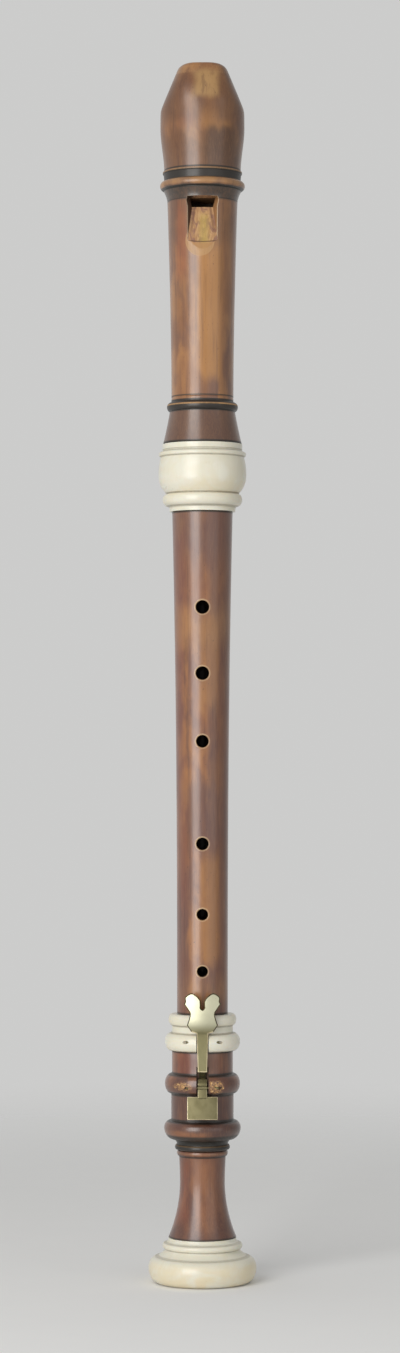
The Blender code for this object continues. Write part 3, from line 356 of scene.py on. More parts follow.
class Look:
    # A procedural finish on the piece's own coordinates, in millimetres
    def __init__(self, name, **fixed):
        self.material = bpy.data.materials.new(name)
        self.material.use_nodes = True
        self.tree = self.material.node_tree
        self.shader = self.tree.nodes["Principled BSDF"]
        for socket, value in fixed.items():
            self.shader.inputs[socket.replace("_", " ")].default_value = value
        place = self.add("ShaderNodeTexCoord").outputs["Object"]
        scale = {"operation": "SCALE"}
        self.place = self.add("ShaderNodeVectorMath", scale, {0: place, "Scale": 1 / mm}).outputs[0]
        parts = self.add("ShaderNodeSeparateXYZ", {}, {0: self.place}).outputs
        self.x, self.y, self.z = (Signal(self, part) for part in parts)

    def add(self, kind, settings=None, inputs=None):
        node = self.tree.nodes.new(kind)
        for key, value in (settings or {}).items():
            setattr(node, key, value)
        for key, value in (inputs or {}).items():
            self.feed(node.inputs[key], value)
        return node

    def feed(self, socket, value):
        if isinstance(value, Signal):
            value = value.socket
        if isinstance(value, bpy.types.NodeSocket):
            self.tree.links.new(value, socket)
        else:
            socket.default_value = value

    def noise(self, size, detail=3.0, roughness=0.55, shift=0.0, warp=0.0):
        # Cloudy noise from 0 to 1 whose marks are about that many millimetres along x, y and z
        stretch = tuple(1 / length for length in size)
        away = (shift, 0.7 * shift, 1.3 * shift)
        inputs = {0: self.place, 1: stretch, 2: away}
        scaled = self.add("ShaderNodeVectorMath", {"operation": "MULTIPLY_ADD"}, inputs)
        node = self.add("ShaderNodeTexNoise", {}, {
            "Vector": scaled.outputs[0], "Scale": 1.0, "Detail": detail, "Roughness": roughness,
            "Distortion": warp,
        })
        return Signal(self, node.outputs[0])

    def tint(self, share, base, colour, way="MIX"):
        # The base colour taken towards another by a share
        node = self.add("ShaderNodeMix", {"data_type": "RGBA", "blend_type": way}, {0: share})
        for key, value in ((6, base), (7, colour)):
            self.feed(node.inputs[key], value if isinstance(value, bpy.types.NodeSocket) else (*value, 1))
        return node.outputs[2]

    def bands(self, rows):
        # The strongest of several bands, each (height, half width, soft edge, strength)
        return reduce(Signal.most, [self.z.band(*row[:3]) * row[3] for row in rows])

    def bump(self, height, distance, strength, under=None):
        # Distance in millimetres
        inputs = {"Height": height, "Distance": distance * mm, "Strength": strength}
        if under:
            inputs["Normal"] = under
        return self.add("ShaderNodeBump", {}, inputs).outputs[0]

    def finish(self, colour, roughness, normal, **others):
        self.feed(self.shader.inputs["Base Color"], colour)
        self.feed(self.shader.inputs["Roughness"], roughness)
        self.feed(self.shader.inputs["Normal"], normal)
        for socket, value in others.items():
            self.feed(self.shader.inputs[socket.replace("_", " ")], value)
        return self.material


# Boxwood: reddish stain over golden wood, darkened in the grooves and worn through where it is held; some tones
# add painted shade on the side away from the light, and the finger-hole rims carry a painted highlight

boxwoodColours = {
    "head": {"stain": (0.25, 0.105, 0.038), "violet": (0.155, 0.070, 0.044), "amber": (0.37, 0.165, 0.050)},
    "middle": {"stain": (0.23, 0.088, 0.036), "violet": (0.135, 0.057, 0.042), "amber": (0.35, 0.145, 0.042)},
    "foot": {"stain": (0.138, 0.044, 0.020), "violet": (0.085, 0.032, 0.024), "amber": (0.24, 0.085, 0.026)},
}
woodDetail = {
    "deepStain": (0.060, 0.024, 0.014), "fibre": (0.42, 0.20, 0.085), "worn": (0.47, 0.27, 0.115),
    "pale": (0.60, 0.42, 0.24), "groove": (0.014, 0.012, 0.009),
}


def boxwoodLook(joint, grooves, wearBands, tones=(), ochreBands=(), rims=(), extraWear=None):
    # grooves, wearBands and ochreBands are bands; tones are (colour, strength, place across the
    # front or None for all round, height), the last two as (centre, half width, soft edge);
    # rims are (height, radius, side) of the finger holes, whose edges are rubbed pale, and paler
    # towards the top and one side as a painted highlight
    colours = boxwoodColours[joint]
    look = Look("stained_boxwood_" + joint, Coat_Roughness=0.24, Specular_IOR_Level=0.5)
    cloud = look.noise((22, 22, 44), 3, 0.5, 4.1, 0.3)
    patch = look.noise((9, 9, 22), 3, 0.5, 11.7, 0.25)
    streak = look.noise((2.6, 2.6, 60), 3, 0.55, 7.3, 0.25)
    fibre = look.noise((0.45, 0.45, 9), 3, 0.6, 2.9, 0.2)
    speck = look.noise((0.8, 0.8, 1.6), 2, 0.5, 19.4)
    front = look.y.fade(1.0, -3.0)

    colour = look.tint(cloud.fade(0.40, 0.60) * 0.85, colours["stain"], colours["violet"])
    amber = (patch * 0.85 + streak * 0.15).fade(0.42, 0.64)
    colour = look.tint(amber * 0.8, colour, colours["amber"])
    drift = patch - 0.5
    for tone, strength, across, up in tones:
        share = (look.z + drift * (1.7 * up[2])).band(*up) * (streak * 0.6 + 0.65).least(1.0) * strength
        if across:
            share = share * (look.x + drift * (1.3 * across[2])).band(*across) * front
        colour = look.tint(share, colour, tone)
    colour = look.tint(streak.fade(0.46, 0.32) * 0.28, colour, woodDetail["deepStain"])
    colour = look.tint(fibre.fade(0.40, 0.72) * 0.13, colour, woodDetail["fibre"])
    colour = look.tint(speck.fade(0.33, 0.23) * 0.6, colour, woodDetail["deepStain"])

    ragged = (patch * 0.5 + fibre * 0.5).fade(0.30, 0.62)
    if ochreBands:
        colour = look.tint(look.bands(ochreBands) * ragged, colour, woodDetail["worn"])
    dark = look.bands(grooves)
    colour = look.tint(dark * (speck * 0.4 + 0.85).least(1.0), colour, woodDetail["groove"])
    worn = look.bands(wearBands)
    if extraWear:
        worn = worn.most(extraWear(look))
    colour = look.tint(worn * (ragged * 0.55 + 0.45), colour, woodDetail["worn"])
    if rims:
        rings = []
        for height, radius, way in rims:
            facing = front if way < 0 else 1 - front
            up = look.z - height
            away = (look.x ** 2.0 + up ** 2.0) ** 0.5
            # Painted highlight: the pale rim is made stronger towards the top and to one side
            rimHighlight = (up + look.x * way).fade(-1.2 * radius, 1.6 * radius) * 0.4 + 0.4
            rings.append(away.fade(radius + 1.05, radius + 0.45) * facing * rimHighlight)
        ring = reduce(Signal.most, rings)
        colour = look.tint(ring * (speck * 0.6 + 0.6).least(1.0), colour, woodDetail["pale"])

    roughness = 0.38 + patch * 0.12 + dark * 0.10
    grain = look.bump(fibre, 0.04, 0.4)
    lathe = look.noise((40, 40, 0.35), 1, 0.5, 5.5)
    normal = look.bump(lathe, 0.03, 0.3, grain)
    normal = look.bump(patch + speck * 0.2, 0.20, 0.4, normal)
    # Hands and lips have dulled the polish on the beak
    coat = (patch * 0.9 + 0.45).least(1.0) - dark * 0.5 - worn * 0.75 - look.z.fade(zBand - 0.4, zBeak + 1) * 0.35
    return look.finish(colour, roughness, normal, Coat_Weight=coat)


def boreLook():
    # Oiled wall of the bore and the tone holes
    look = Look("oiled_bore", Coat_Weight=0.15)
    streak = look.noise((1.8, 1.8, 30), 3, 0.6, 3.3)
    colour = look.tint(streak.fade(0.35, 0.65), (0.050, 0.026, 0.014), (0.105, 0.055, 0.028))
    return look.finish(colour, 0.5 + streak * 0.2, look.bump(streak, 0.06, 0.5))


def knifeCutLook():
    # Cut faces round the window: walls and a golden ramp with mauve streaks, with painted shade on the left wall,
    # painted shadow along the ramp's sides, a painted shade line at the recut's step and a pale outer edge that
    # is worn and partly a painted highlight
    look = Look("knife_cut_boxwood", Specular_IOR_Level=0.35)
    streak = look.noise((1.1, 1.1, 18), 4, 0.65, 8.2, 0.5)
    blot = look.noise((3.0, 3.0, 7.5), 4, 0.6, 15.0, 1.2)
    zLip = rampPlace(0)[1]
    recutFoot = window["recutFoot"]
    rampShare = (zLip - look.z) * (1 / window["rampLength"])
    away = abs(look.x) - (rampShare * (rampHalf(1) - rampHalf(0)) + rampHalf(0))
    colour = look.tint(streak.fade(0.35, 0.65), (0.52, 0.31, 0.150), (0.38, 0.200, 0.092))
    colour = look.tint(blot.fade(0.46, 0.60) * 0.8, colour, (0.250, 0.125, 0.092))
    middle = abs(look.x - 0.8).fade(4.2, 0.6) * look.z.fade(zLip - 1.2, zLip - 6.2)
    colour = look.tint(middle * (streak * 0.7 + 0.35).least(1.0) * 0.8, colour, (0.46, 0.335, 0.085))
    # Painted shadow: the ramp is darkened along both sides where it meets the walls
    rampSideShadow = away.band(-1.5, 0.25, 0.8) * look.z.fade(zLip - 17.2, zLip - 11.2)
    colour = look.tint(rampSideShadow * 0.55, colour, (0.15, 0.070, 0.042))
    wall = away.fade(-0.3, 0.15)
    colour = look.tint(wall * 0.9, colour, (0.30, 0.150, 0.062))
    # Painted shade: the left wall, which faces away from the light, is made nearly black
    colour = look.tint(wall * look.x.fade(1.0, -1.0) * 0.9, colour, (0.045, 0.024, 0.016))
    # A pale line along the walls' outer edge: rubbed wood, and a painted highlight on the edge
    outside = (look.x ** 2.0 + look.y ** 2.0) ** 0.5 - (look.z - zLip - 1.8) * 0.030
    colour = look.tint(outside.fade(17.75, 18.25) * away.fade(-0.4, 0.1) * 0.9, colour, (0.66, 0.52, 0.37))
    # Painted shade: a dark line along the recut's curved foot, where its step is shaded
    line = (look.z - look.x ** 2.0 * 0.0091).band(recutFoot - window["recutSag"], 0.16, 0.30)
    colour = look.tint(line * 0.8, colour, (0.085, 0.045, 0.026))
    below = look.z.fade(recutFoot - 0.5, recutFoot - 1.7)
    colour = look.tint(below * 0.85, colour, (0.42, 0.225, 0.095))
    normal = look.bump(streak + blot * 0.6, 0.12, 0.6)
    return look.finish(colour, 0.60 + blot * 0.15, normal)


def splinterLook():
    look = Look("splintered_boxwood")
    fibre = look.noise((0.35, 0.35, 2.2), 3, 0.7, 6.6, 0.4)
    colour = look.tint(fibre.fade(0.35, 0.65), (0.30, 0.13, 0.05), (0.78, 0.55, 0.27))
    return look.finish(colour, 0.6 + fibre * 0.1, look.bump(fibre, 0.2, 0.9))


# Ivory: cream with a faint growth grain, honey in places, and dirt in its lines

def ivoryLook(name, dirtLines, honeyBands=()):
    # dirtLines and honeyBands are bands
    look = Look(
        name, Coat_Weight=0.12, Coat_Roughness=0.18, Subsurface_Weight=0.12,
        Subsurface_Radius=(1.0, 0.6, 0.35), Subsurface_Scale=0.0025,
    )
    cloud = look.noise((16, 16, 11), 3, 0.55, 1.9, 0.8)
    grain = look.noise((0.7, 0.7, 14), 3, 0.6, 9.1, 0.3)
    pore = look.noise((0.9, 0.9, 0.9), 2, 0.6, 13.2)
    colour = look.tint(cloud.fade(0.38, 0.66), (0.745, 0.718, 0.605), (0.720, 0.682, 0.545))
    colour = look.tint(grain.fade(0.50, 0.70) * 0.18, colour, (0.64, 0.57, 0.43))
    for height, half, soft, strength in honeyBands:
        honey = look.z.band(height, half, soft) * cloud.fade(0.30, 0.62) * strength
        colour = look.tint(honey, colour, (0.74, 0.62, 0.40))
    dirt = look.bands(dirtLines)
    colour = look.tint(dirt * (pore * 0.9 + 0.35).least(1.0), colour, (0.215, 0.175, 0.115))
    colour = look.tint(pore.fade(0.30, 0.22) * 0.35, colour, (0.42, 0.34, 0.22))
    normal = look.bump(grain * 0.4 + cloud, 0.10, 0.4)
    return look.finish(colour, 0.24 + cloud * 0.12 + dirt * 0.25, normal)


# Brass: greenish gold, rubbed bright where fingers touch it and olive where they don't; the flap's duller brass
# is also painted shade

brassColours = {
    "bright": (0.67, 0.655, 0.480), "satin": (0.285, 0.260, 0.142), "olive": (0.175, 0.155, 0.080),
    "dull": (0.225, 0.200, 0.110), "edgeShade": (0.085, 0.070, 0.035), "glint": (0.86, 0.74, 0.48),
}


# Colour for the levers' edges, used both for their painted shade and for their painted highlight
def brassEdgeLook(name, colour):
    look = Look(name, Metallic=1.0)
    cloud = look.noise((2.5, 2.5, 4), 2, 0.5, 6.2)
    colour = look.tint(cloud.fade(0.35, 0.65) * 0.4, colour, brassColours["olive"])
    return look.finish(colour, 0.42 + cloud * 0.1, look.bump(cloud, 0.03, 0.4))


def brassLook(name, base, rubbed, oliveShare, roughness=0.38):
    look = Look(name, Metallic=1.0)
    cloud = look.noise((5.5, 5.5, 8), 3, 0.55, 3.7, 0.6)
    brushed = look.noise((0.25, 0.25, 5.0), 3, 0.6, 8.8)
    pit = look.noise((0.5, 0.5, 0.5), 2, 0.6, 17.0)
    colour = look.tint(cloud.fade(0.35, 0.65) * oliveShare, brassColours[base], brassColours["olive"])
    if rubbed:
        touched = rubbed(look)
        colour = look.tint(touched * (cloud * 0.3 + 0.8).least(1.0), colour, brassColours["bright"])
    colour = look.tint(pit.fade(0.31, 0.24) * 0.5, colour, (0.11, 0.085, 0.045))
    normal = look.bump(brushed * 0.5 + cloud * 0.8 + pit * 0.25, 0.05, 0.5)
    return look.finish(colour, roughness + cloud * 0.14 + brushed * 0.06, normal)


def springLook():
    look = Look("spring_temper", Metallic=1.0)
    cloud = look.noise((3, 3, 6), 3, 0.6, 2.2, 0.6)
    line = look.noise((0.2, 0.2, 6.0), 2, 0.6, 4.4)
    colour = look.tint(cloud.fade(0.40, 0.62), (0.33, 0.31, 0.27), (0.20, 0.165, 0.12))
    return look.finish(colour, 0.32 + cloud * 0.2, look.bump(line, 0.03, 0.5))


def cedarLook():
    look = Look("cedar_block", Specular_IOR_Level=0.3)
    ring = look.noise((1.6, 1.6, 40), 3, 0.6, 6.1, 0.5)
    fibre = look.noise((0.4, 0.4, 8), 3, 0.6, 12.1)
    colour = look.tint(ring.fade(0.38, 0.62), (0.42, 0.215, 0.095), (0.26, 0.115, 0.050))
    colour = look.tint(fibre.fade(0.45, 0.70) * 0.4, colour, (0.55, 0.33, 0.17))
    colour = look.tint(look.z.fade(zTip - 7, zTip) * 0.45, colour, (0.12, 0.062, 0.035))
    return look.finish(colour, 0.55 + fibre * 0.15, look.bump(fibre + ring, 0.08, 0.5))


def threadLook():
    look = Look("waxed_thread", Sheen_Weight=0.25, Sheen_Roughness=0.5)
    strand = look.noise((0.28, 0.28, 0.10), 2, 0.6, 3.0)
    cloud = look.noise((5, 5, 4), 2, 0.6, 10.0)
    colour = look.tint(cloud.fade(0.40, 0.65), (0.60, 0.43, 0.22), (0.42, 0.27, 0.12))
    colour = look.tint(strand.fade(0.45, 0.65) * 0.4, colour, (0.72, 0.57, 0.36))
    return look.finish(colour, 0.75 + strand * 0.1, look.bump(strand, 0.05, 0.7))


def leatherLook():
    look = Look("key_leather", Sheen_Weight=0.15, Sheen_Roughness=0.6)
    inputs = {"Vector": look.place, "Scale": 2.2}
    grain = look.add("ShaderNodeTexVoronoi", {"feature": "DISTANCE_TO_EDGE"}, inputs)
    crease = Signal(look, grain.outputs[0])
    cloud = look.noise((2.5, 2.5, 2.5), 3, 0.6, 5.0)
    colour = look.tint(cloud.fade(0.38, 0.64), (0.52, 0.36, 0.21), (0.34, 0.215, 0.115))
    colour = look.tint(crease.fade(0.12, 0.0) * 0.5, colour, (0.20, 0.12, 0.06))
    normal = look.bump(crease.fade(0.0, 0.18) + cloud * 0.3, 0.12, 0.7)
    return look.finish(colour, 0.68 + cloud * 0.15, normal)


# Head: wooden joint with beak, windway and window, its ivory bulb and the cedar block

headWood = {
    "coneLow": 21.0, "coneTop": 17.5, "coneLength": 17.2,
    "beadRadius": 19.0, "beadHeight": 4.8, "neckRadius": 16.6, "neckLength": 2.7,
    "bodyTop": 18.75, "bodyLength": 103.9, "coveTop": 20.9, "coveLength": 6.6,
    "grooveRadius": 20.5, "bigBeadRadius": 22.7, "bigBeadHeight": 4.8,
    "bandRadius": 20.8, "bandLength": 4.0, "ridgeRadius": 21.2, "ridgeHeight": 1.2,
    "bulgeRadius": 22.5, "bulgeLength": 23.4,
    "beakLength": 33.0, "tipDepth": 14.5, "tipSweep": 2.2,
    "taperStart": 9.3, "taperSlope": 0.435, "taperSoft": 1.2,
    "tipRound": 3.0, "tipCornerDrop": 3.4, "tipFrontDrop": 1.0, "tipSquareness": 3.6,
    "hollowRadius": 50.0, "hollowTip": 7.5, "hollowLength": 47.0,
    "boreRadius": 11.8, "socketRadius": 13.4, "tenonLength": 28.5,
    "spigotRadius": 15.9, "lip": 2.7,
}

zConeBead = zHead + headWood["coneLength"]
zNeck = zConeBead + headWood["beadHeight"]
zBody = zNeck + headWood["neckLength"]
zCove = zBody + headWood["bodyLength"]
zBigBead = zCove + headWood["coveLength"]
zBand = zBigBead + headWood["bigBeadHeight"]
zRidge = zBand + headWood["bandLength"]
zBulge = zRidge + headWood["ridgeHeight"]
zBeak = zTip - headWood["beakLength"]

window = {
    "windwayHeight": 1.1, "windwayWidth": 13.8, "cutUp": 5.3, "labiumThickness": 0.5,
    "labiumWidth": 11.2, "rampLength": 26.2, "rampEndWidth": 18.8, "width": 16.3,
    "scallop": (-1.3, 555.0), "scallopHalf": (7.9, 8.6),
    "recut": 0.40, "recutFoot": 554.9, "recutSag": 0.6, "recutSide": 0.15, "recutSteps": 12,
}


def tipRound(z):
    reach = headWood["tipRound"]
    into = max(0.0, z - zTip + reach) / reach
    return 1 - math.sqrt(1 - min(1.0, into) ** 2)


def sideHalfWidth(z):
    past = z - zBeak - headWood["taperStart"]
    drawn = (past + math.hypot(past, headWood["taperSoft"])) / 2
    return headWood["bulgeRadius"] - headWood["taperSlope"] * drawn - headWood["tipCornerDrop"] * tipRound(z)


def frontDepth(z):
    t = min(1.0, max(0.0, (z - zBeak) / (zTip - zBeak)))
    swept = (headWood["tipDepth"] - headWood["bulgeRadius"]) * t ** headWood["tipSweep"]
    return headWood["bulgeRadius"] + swept - tipRound(z) * headWood["tipFrontDrop"]


def beakHeights(steps=30):
    return [zBeak + (zTip - zBeak) * math.sin(math.pi / 2 * i / steps) for i in range(1, steps + 1)]


def drawInBeak(bm):
    # The turned end is made narrower than deep, with fuller corners towards the tip
    start = zBeak
    for v in bm.verts:
        depth = math.hypot(v.co.x, v.co.y)
        if v.co.z <= start or depth < 1e-3:
            continue
        width = sideHalfWidth(v.co.z) * depth / frontDepth(v.co.z)
        share = max(0.0, v.co.z - start - headWood["taperStart"]) / (zTip - start - headWood["taperStart"])
        power = 2 + (headWood["tipSquareness"] - 2) * share
        along = v.co.x / depth
        across = v.co.y / depth
        reach = (abs(along / width) ** power + abs(across / depth) ** power) ** (-1 / power)
        v.co.x = along * reach
        v.co.y = across * reach


def headProfile():
    size = headWood
    cone = (size["coneLow"], zHead)
    coneTop = (size["coneTop"], zConeBead)
    body = (size["neckRadius"], zBody)
    cove = (size["bodyTop"], zCove)
    groove = (size["grooveRadius"], zBigBead)
    profile = [(size["spigotRadius"], zHead), cone] + arrive(cone, coneTop, 1.15, 14)
    profile += bead(coneTop, size["beadRadius"], (size["neckRadius"], zNeck))
    profile += scored(size["neckRadius"], zBody - 0.4)
    profile += [body] + leave(body, cove, 1.6, 60)
    profile += leave(cove, (size["coveTop"], zBigBead), 1.8, 8)
    profile += [groove] + bead(groove, size["bigBeadRadius"], (size["grooveRadius"], zBand))
    profile += leave((size["grooveRadius"], zBand), (size["bandRadius"], zRidge), 2.0, 5)
    profile += [(size["ridgeRadius"], zRidge), (size["ridgeRadius"], zBulge), (size["grooveRadius"], zBulge)]
    for i in range(1, 25):
        t = i / 24
        swell = t * t * (3 - 2 * t)
        radius = size["grooveRadius"] + (size["bulgeRadius"] - size["grooveRadius"]) * swell
        profile.append((radius, zBulge + size["bulgeLength"] * t))
    profile += [(frontDepth(z), z) for z in beakHeights()]
    return softCorners(profile)


def makeHollowCutter(look):
    # The hollow behind the beak: an arc from the tip's back edge down to the bulge's back
    far = 3 * headWood["bulgeRadius"]
    tip = Vector((-headWood["hollowTip"], zTip))
    foot = Vector((headWood["bulgeRadius"], zTip - headWood["hollowLength"]))
    chord = foot - tip
    square = Vector((-chord.y, chord.x)).normalized()
    radius = headWood["hollowRadius"]
    centre = (tip + foot) / 2 + square * math.sqrt(radius ** 2 - (chord.length / 2) ** 2)
    start = math.atan2(tip.y - centre.y, tip.x - centre.x)
    end = math.atan2(foot.y - centre.y, foot.x - centre.x)
    start -= 2 * math.pi if start > end else 0
    outline = [(tip.x, zTip + far)]
    steps = 40
    for i in range(-2, steps + 12):
        angle = start + (end - start) * i / steps
        outline.append(tuple(centre + radius * Vector((math.cos(angle), math.sin(angle)))))
    outline += [(far, outline[-1][1]), (far, zTip + far)]
    return makeSolid("hollow_cutter", extrudeOutline(outline, "X", -far, far), [look])


def makeWindwayCutter(look):
    inner = headWood["boreRadius"] - 2 * gap
    outer = headWood["boreRadius"] + window["windwayHeight"] - gap
    halfAngle = math.asin(window["windwayWidth"] / 2 / outer)
    low = zBlock - gap
    high = zTip + gap
    bm = bmesh.new()
    corners = ((inner, low), (outer, low), (outer, high), (inner, high))
    face = bm.faces.new([bm.verts.new((radius, 0, z)) for radius, z in corners])
    turnMesh(bm, Matrix.Rotation(-math.pi / 2 - halfAngle, 3, "Z"))
    bmesh.ops.spin(bm, geom=[face], cent=(0, 0, 0), axis=(0, 0, 1), angle=2 * halfAngle, steps=16)
    bmesh.ops.remove_doubles(bm, verts=bm.verts, dist=1e-3)
    bmesh.ops.recalc_face_normals(bm, faces=bm.faces)
    return makeSolid("windway_cutter", bm, [look])


def rampPlace(share):
    # Depth and height on the ramp, from the labium's edge at 0 to the outside at 1
    lipY = -(headWood["boreRadius"] + window["labiumThickness"])
    y = lipY + (-headWood["bodyTop"] - lipY) * share
    return y, zBlock - window["cutUp"] - window["rampLength"] * share


def rampHalf(share):
    # Half width of the ramp, which widens away from the labium's edge
    lip = window["labiumWidth"] / 2
    return lip + (window["rampEndWidth"] / 2 - lip) * share


def makeWindowCutter(look):
    lipY, zLip = rampPlace(0)
    innerY = -headWood["boreRadius"] / 2
    outerY = -headWood["bigBeadRadius"] - gap
    beyond = (outerY - lipY) / (-headWood["bodyTop"] - lipY)
    mouth = window["windwayWidth"] / 2
    lip = rampHalf(0)
    edge = window["width"] / 2
    splay = (outerY - lipY) / (-math.sqrt(headWood["bodyTop"] ** 2 - edge ** 2) - lipY)
    corners = (
        (innerY, zBlock, mouth), (innerY, zLip, lip), (lipY, zLip, lip),
        (outerY, rampPlace(beyond)[1], rampHalf(beyond)), (outerY, zLip, lip + (edge - lip) * splay),
        (outerY, zBlock, mouth + (edge - mouth) * splay), (lipY, zBlock, mouth),
    )
    bm = bmesh.new()
    right = [bm.verts.new((width, y, z)) for y, z, width in corners]
    left = [bm.verts.new((-width, y, z)) for y, z, width in corners]
    for a in range(len(corners)):
        b = (a + 1) % len(corners)
        bm.faces.new((right[a], right[b], left[b], left[a]))
    for side in (right, left):
        for picked in ((0, 1, 2, 6), (2, 3, 4), (6, 2, 4), (6, 4, 5)):
            bm.faces.new([side[i] for i in picked])
    bmesh.ops.recalc_face_normals(bm, faces=bm.faces)
    return makeSolid("window_cutter", bm, [look])


def makeRecutCutter(look):
    # The labium was thinned once more: a shallow step, deeper downwards, with a curved foot
    lipY, zLip = rampPlace(0)
    foot = window["recutFoot"]
    slope = (rampPlace(1)[0] - lipY) / (zLip - rampPlace(1)[1])
    half = rampHalf(0) - window["recutSide"]
    footHalf = rampHalf((zLip - foot) / window["rampLength"]) - window["recutSide"]
    steps = window["recutSteps"]
    outline = [(half, zLip + 1.0)]
    for i in range(steps + 1):
        across = 1 - 2 * i / steps
        outline.append((across * footHalf, foot - window["recutSag"] * (1 - across * across)))
    outline.append((-half, zLip + 1.0))
    bm = bmesh.new()
    verts = []
    for x, z in outline:
        share = (zLip - z) / (zLip - foot)
        y = lipY + slope * (zLip - z) + window["recut"] * (0.3 + 0.7 * share)
        verts.append(bm.verts.new((x, y, z)))
    pushOut(bm, [bm.faces.new(verts)], (0, -12, 0))
    bmesh.ops.recalc_face_normals(bm, faces=bm.faces)
    return makeSolid("recut_cutter", bm, [look])


def makeHead(wood, bore, knifeCut):
    zSocket = zBulb + headWood["tenonLength"] + gap
    zEnd = zBulb + headWood["lip"] + gap
    profile = [(0, zEnd), (headWood["spigotRadius"], zEnd)] + headProfile() + [(0, zTip)]
    shape = spinProfile(profile)
    drawInBeak(shape)
    head = makeSolid("head_wood", shape, [wood, bore, knifeCut])
    zPast = zTip + gap
    hole = [(0, zBulb), (headWood["socketRadius"], zBulb), (headWood["socketRadius"], zSocket)]
    hole += [(headWood["boreRadius"], zSocket), (headWood["boreRadius"], zPast), (0, zPast)]
    boreCutter = makeSolid("bore_cutter", spinProfile(hole), [bore])
    cutters = [
        makeHollowCutter(wood), boreCutter, makeWindwayCutter(knifeCut), makeWindowCutter(knifeCut),
        makeRecutCutter(knifeCut),
    ]
    carve(head, cutters)
    return seat(head, "head", ["head_joint"])


bulbMount = {
    "edgeRadius": 17.6, "edgeHeight": 2.7, "lowBead": 21.3, "lowBeadHeight": 6.6, "groove": 19.6,
    "bulb": 23.5, "bulbTop": 22.2, "bulbHeight": 20.0, "crestShare": 0.52,
    "topBead": 23.4, "topBeadHeight": 2.8, "band": 21.3, "bandHeight": 4.0, "lip": 2.7,
}


def makeBulbMount(look):
    size = bulbMount
    zBead = zBulb + size["edgeHeight"]
    zGroove = zBead + size["lowBeadHeight"]
    zTop = zGroove + size["bulbHeight"]
    zBand = zTop + size["topBeadHeight"]
    zEnd = zBand + size["bandHeight"]
    crest = (size["bulb"], zGroove + size["bulbHeight"] * size["crestShare"])
    edge = (size["edgeRadius"], zBulb)
    profile = [edge] + leave(edge, (size["edgeRadius"] + gap, zBead), 2.0, 4)
    profile += bead(profile[-1], size["lowBead"], (size["groove"], zGroove), 0.52)
    profile += scored(size["groove"] + 0.05, zGroove + 0.35, 0.5, 0.3)
    profile += arrive((size["groove"], zGroove + 0.6), crest, 2.4, 18)
    profile += leave(crest, (size["bulbTop"], zTop), 2.2, 14)
    profile += bead((size["bulbTop"], zTop), size["topBead"], (size["band"], zBand), 0.5, 6)
    profile += scored(size["band"], zBand + 0.9, 0.45, 0.2) + [(size["band"], zEnd)]
    bore = headWood["spigotRadius"] + gap
    zLip = zBulb + size["lip"]
    socket = headWood["socketRadius"]
    profile += [(bore, zEnd), (bore, zLip), (socket, zLip), (socket, zBulb)]
    mount = makeSolid("head_bulb_mount", spinProfile(softCorners(profile)), [look])
    return seat(mount, "head", ["head_socket_ring"])


blockPlug = {"chamfer": 0.6}


def makeBlock(look):
    radius = headWood["boreRadius"] - gap
    chamfer = blockPlug["chamfer"]
    profile = [(0, zBlock), (radius - chamfer, zBlock), (radius, zBlock + chamfer), (radius, zTip), (0, zTip)]
    block = makeSolid("cedar_plug", spinProfile(profile), [look])
    wide = headWood["bulgeRadius"]
    heights = [z for z in beakHeights() if z > zBeak + headWood["taperStart"] - 3]
    outline = [(wide, zBlock - gap), (wide, heights[0] - gap)] + [(sideHalfWidth(z), z) for z in heights]
    outline += [(-x, z) for x, z in outline[::-1]]
    sides = makeSolid("plug_side_cutter", extrudeOutline(outline, "Y", -wide, wide), [look])
    carve(block, [sides], "INTERSECT")
    carve(block, [makeHollowCutter(look)])
    return seat(block, "block", ["block"])


# Middle: the tube with its finger holes, the thumb hole and two lapped tenons

middleWood = {
    "length": zShoulder - zMiddle, "lowRadius": 13.6, "topRadius": 16.2, "swell": 2.5,
    "boreTop": 10.7, "boreEnd": 8.4, "tenonLength": 28.5, "upperTenon": 13.1, "lowerTenon": 11.7,
    "lappingDepth": 0.9, "lappingMargin": 4.5, "rimRound": 0.55, "thumbWear": 0.9,
    "holeStart": 3.0, "holePast": 6.0, "steps": 150,
}

fingerHoles = (  # below the head's shoulder, and diameter
    (51.1, 7.1), (86.2, 7.1), (122.4, 6.6), (176.9, 6.5), (214.5, 6.0), (244.8, 5.7),
)
thumbHole = (40.0, 6.8)


def middleRadius(z):
    t = (z - zMiddle) / middleWood["length"]
    growth = middleWood["topRadius"] - middleWood["lowRadius"]
    return middleWood["lowRadius"] + growth * t ** middleWood["swell"]


def tenonProfile(radius, shoulder, end):
    way = 1 if end > shoulder else -1
    a = shoulder + way * middleWood["lappingMargin"]
    b = end - way * middleWood["lappingMargin"]
    floor = radius - middleWood["lappingDepth"]
    return [(radius, shoulder), (radius, a), (floor, a), (floor, b), (radius, b), (radius, end)]


def makeToneHoleCutter(name, z, diameter, side, look, bore, lip):
    # A hole with its mouth rounded by fingers, following the round of the tube
    radius = diameter / 2
    outside = middleRadius(z)
    start = middleWood["holeStart"]
    end = outside + middleWood["holePast"]
    profile = [(0, start), (radius, start), (radius, outside - lip)]
    for i in range(1, 7):
        t = math.pi / 2 * i / 6
        profile.append((radius + lip * (1 - math.cos(t)), outside - lip + lip * math.sin(t)))
    profile += [(radius + lip, end), (0, end)]
    bm = spinProfile(profile, turning["holeFacets"])
    paintFaces(bm, 1, lambda centre, normal: centre.z < outside - lip)
    for v in bm.verts:
        if v.co.z > outside - 2 * lip:
            v.co.z += math.sqrt(outside ** 2 - v.co.x ** 2) - outside
    turnMesh(bm, Matrix.Rotation(-side * math.pi / 2, 3, "X"))
    return makeSolid(name, bm, [look, bore], (0, 0, z))


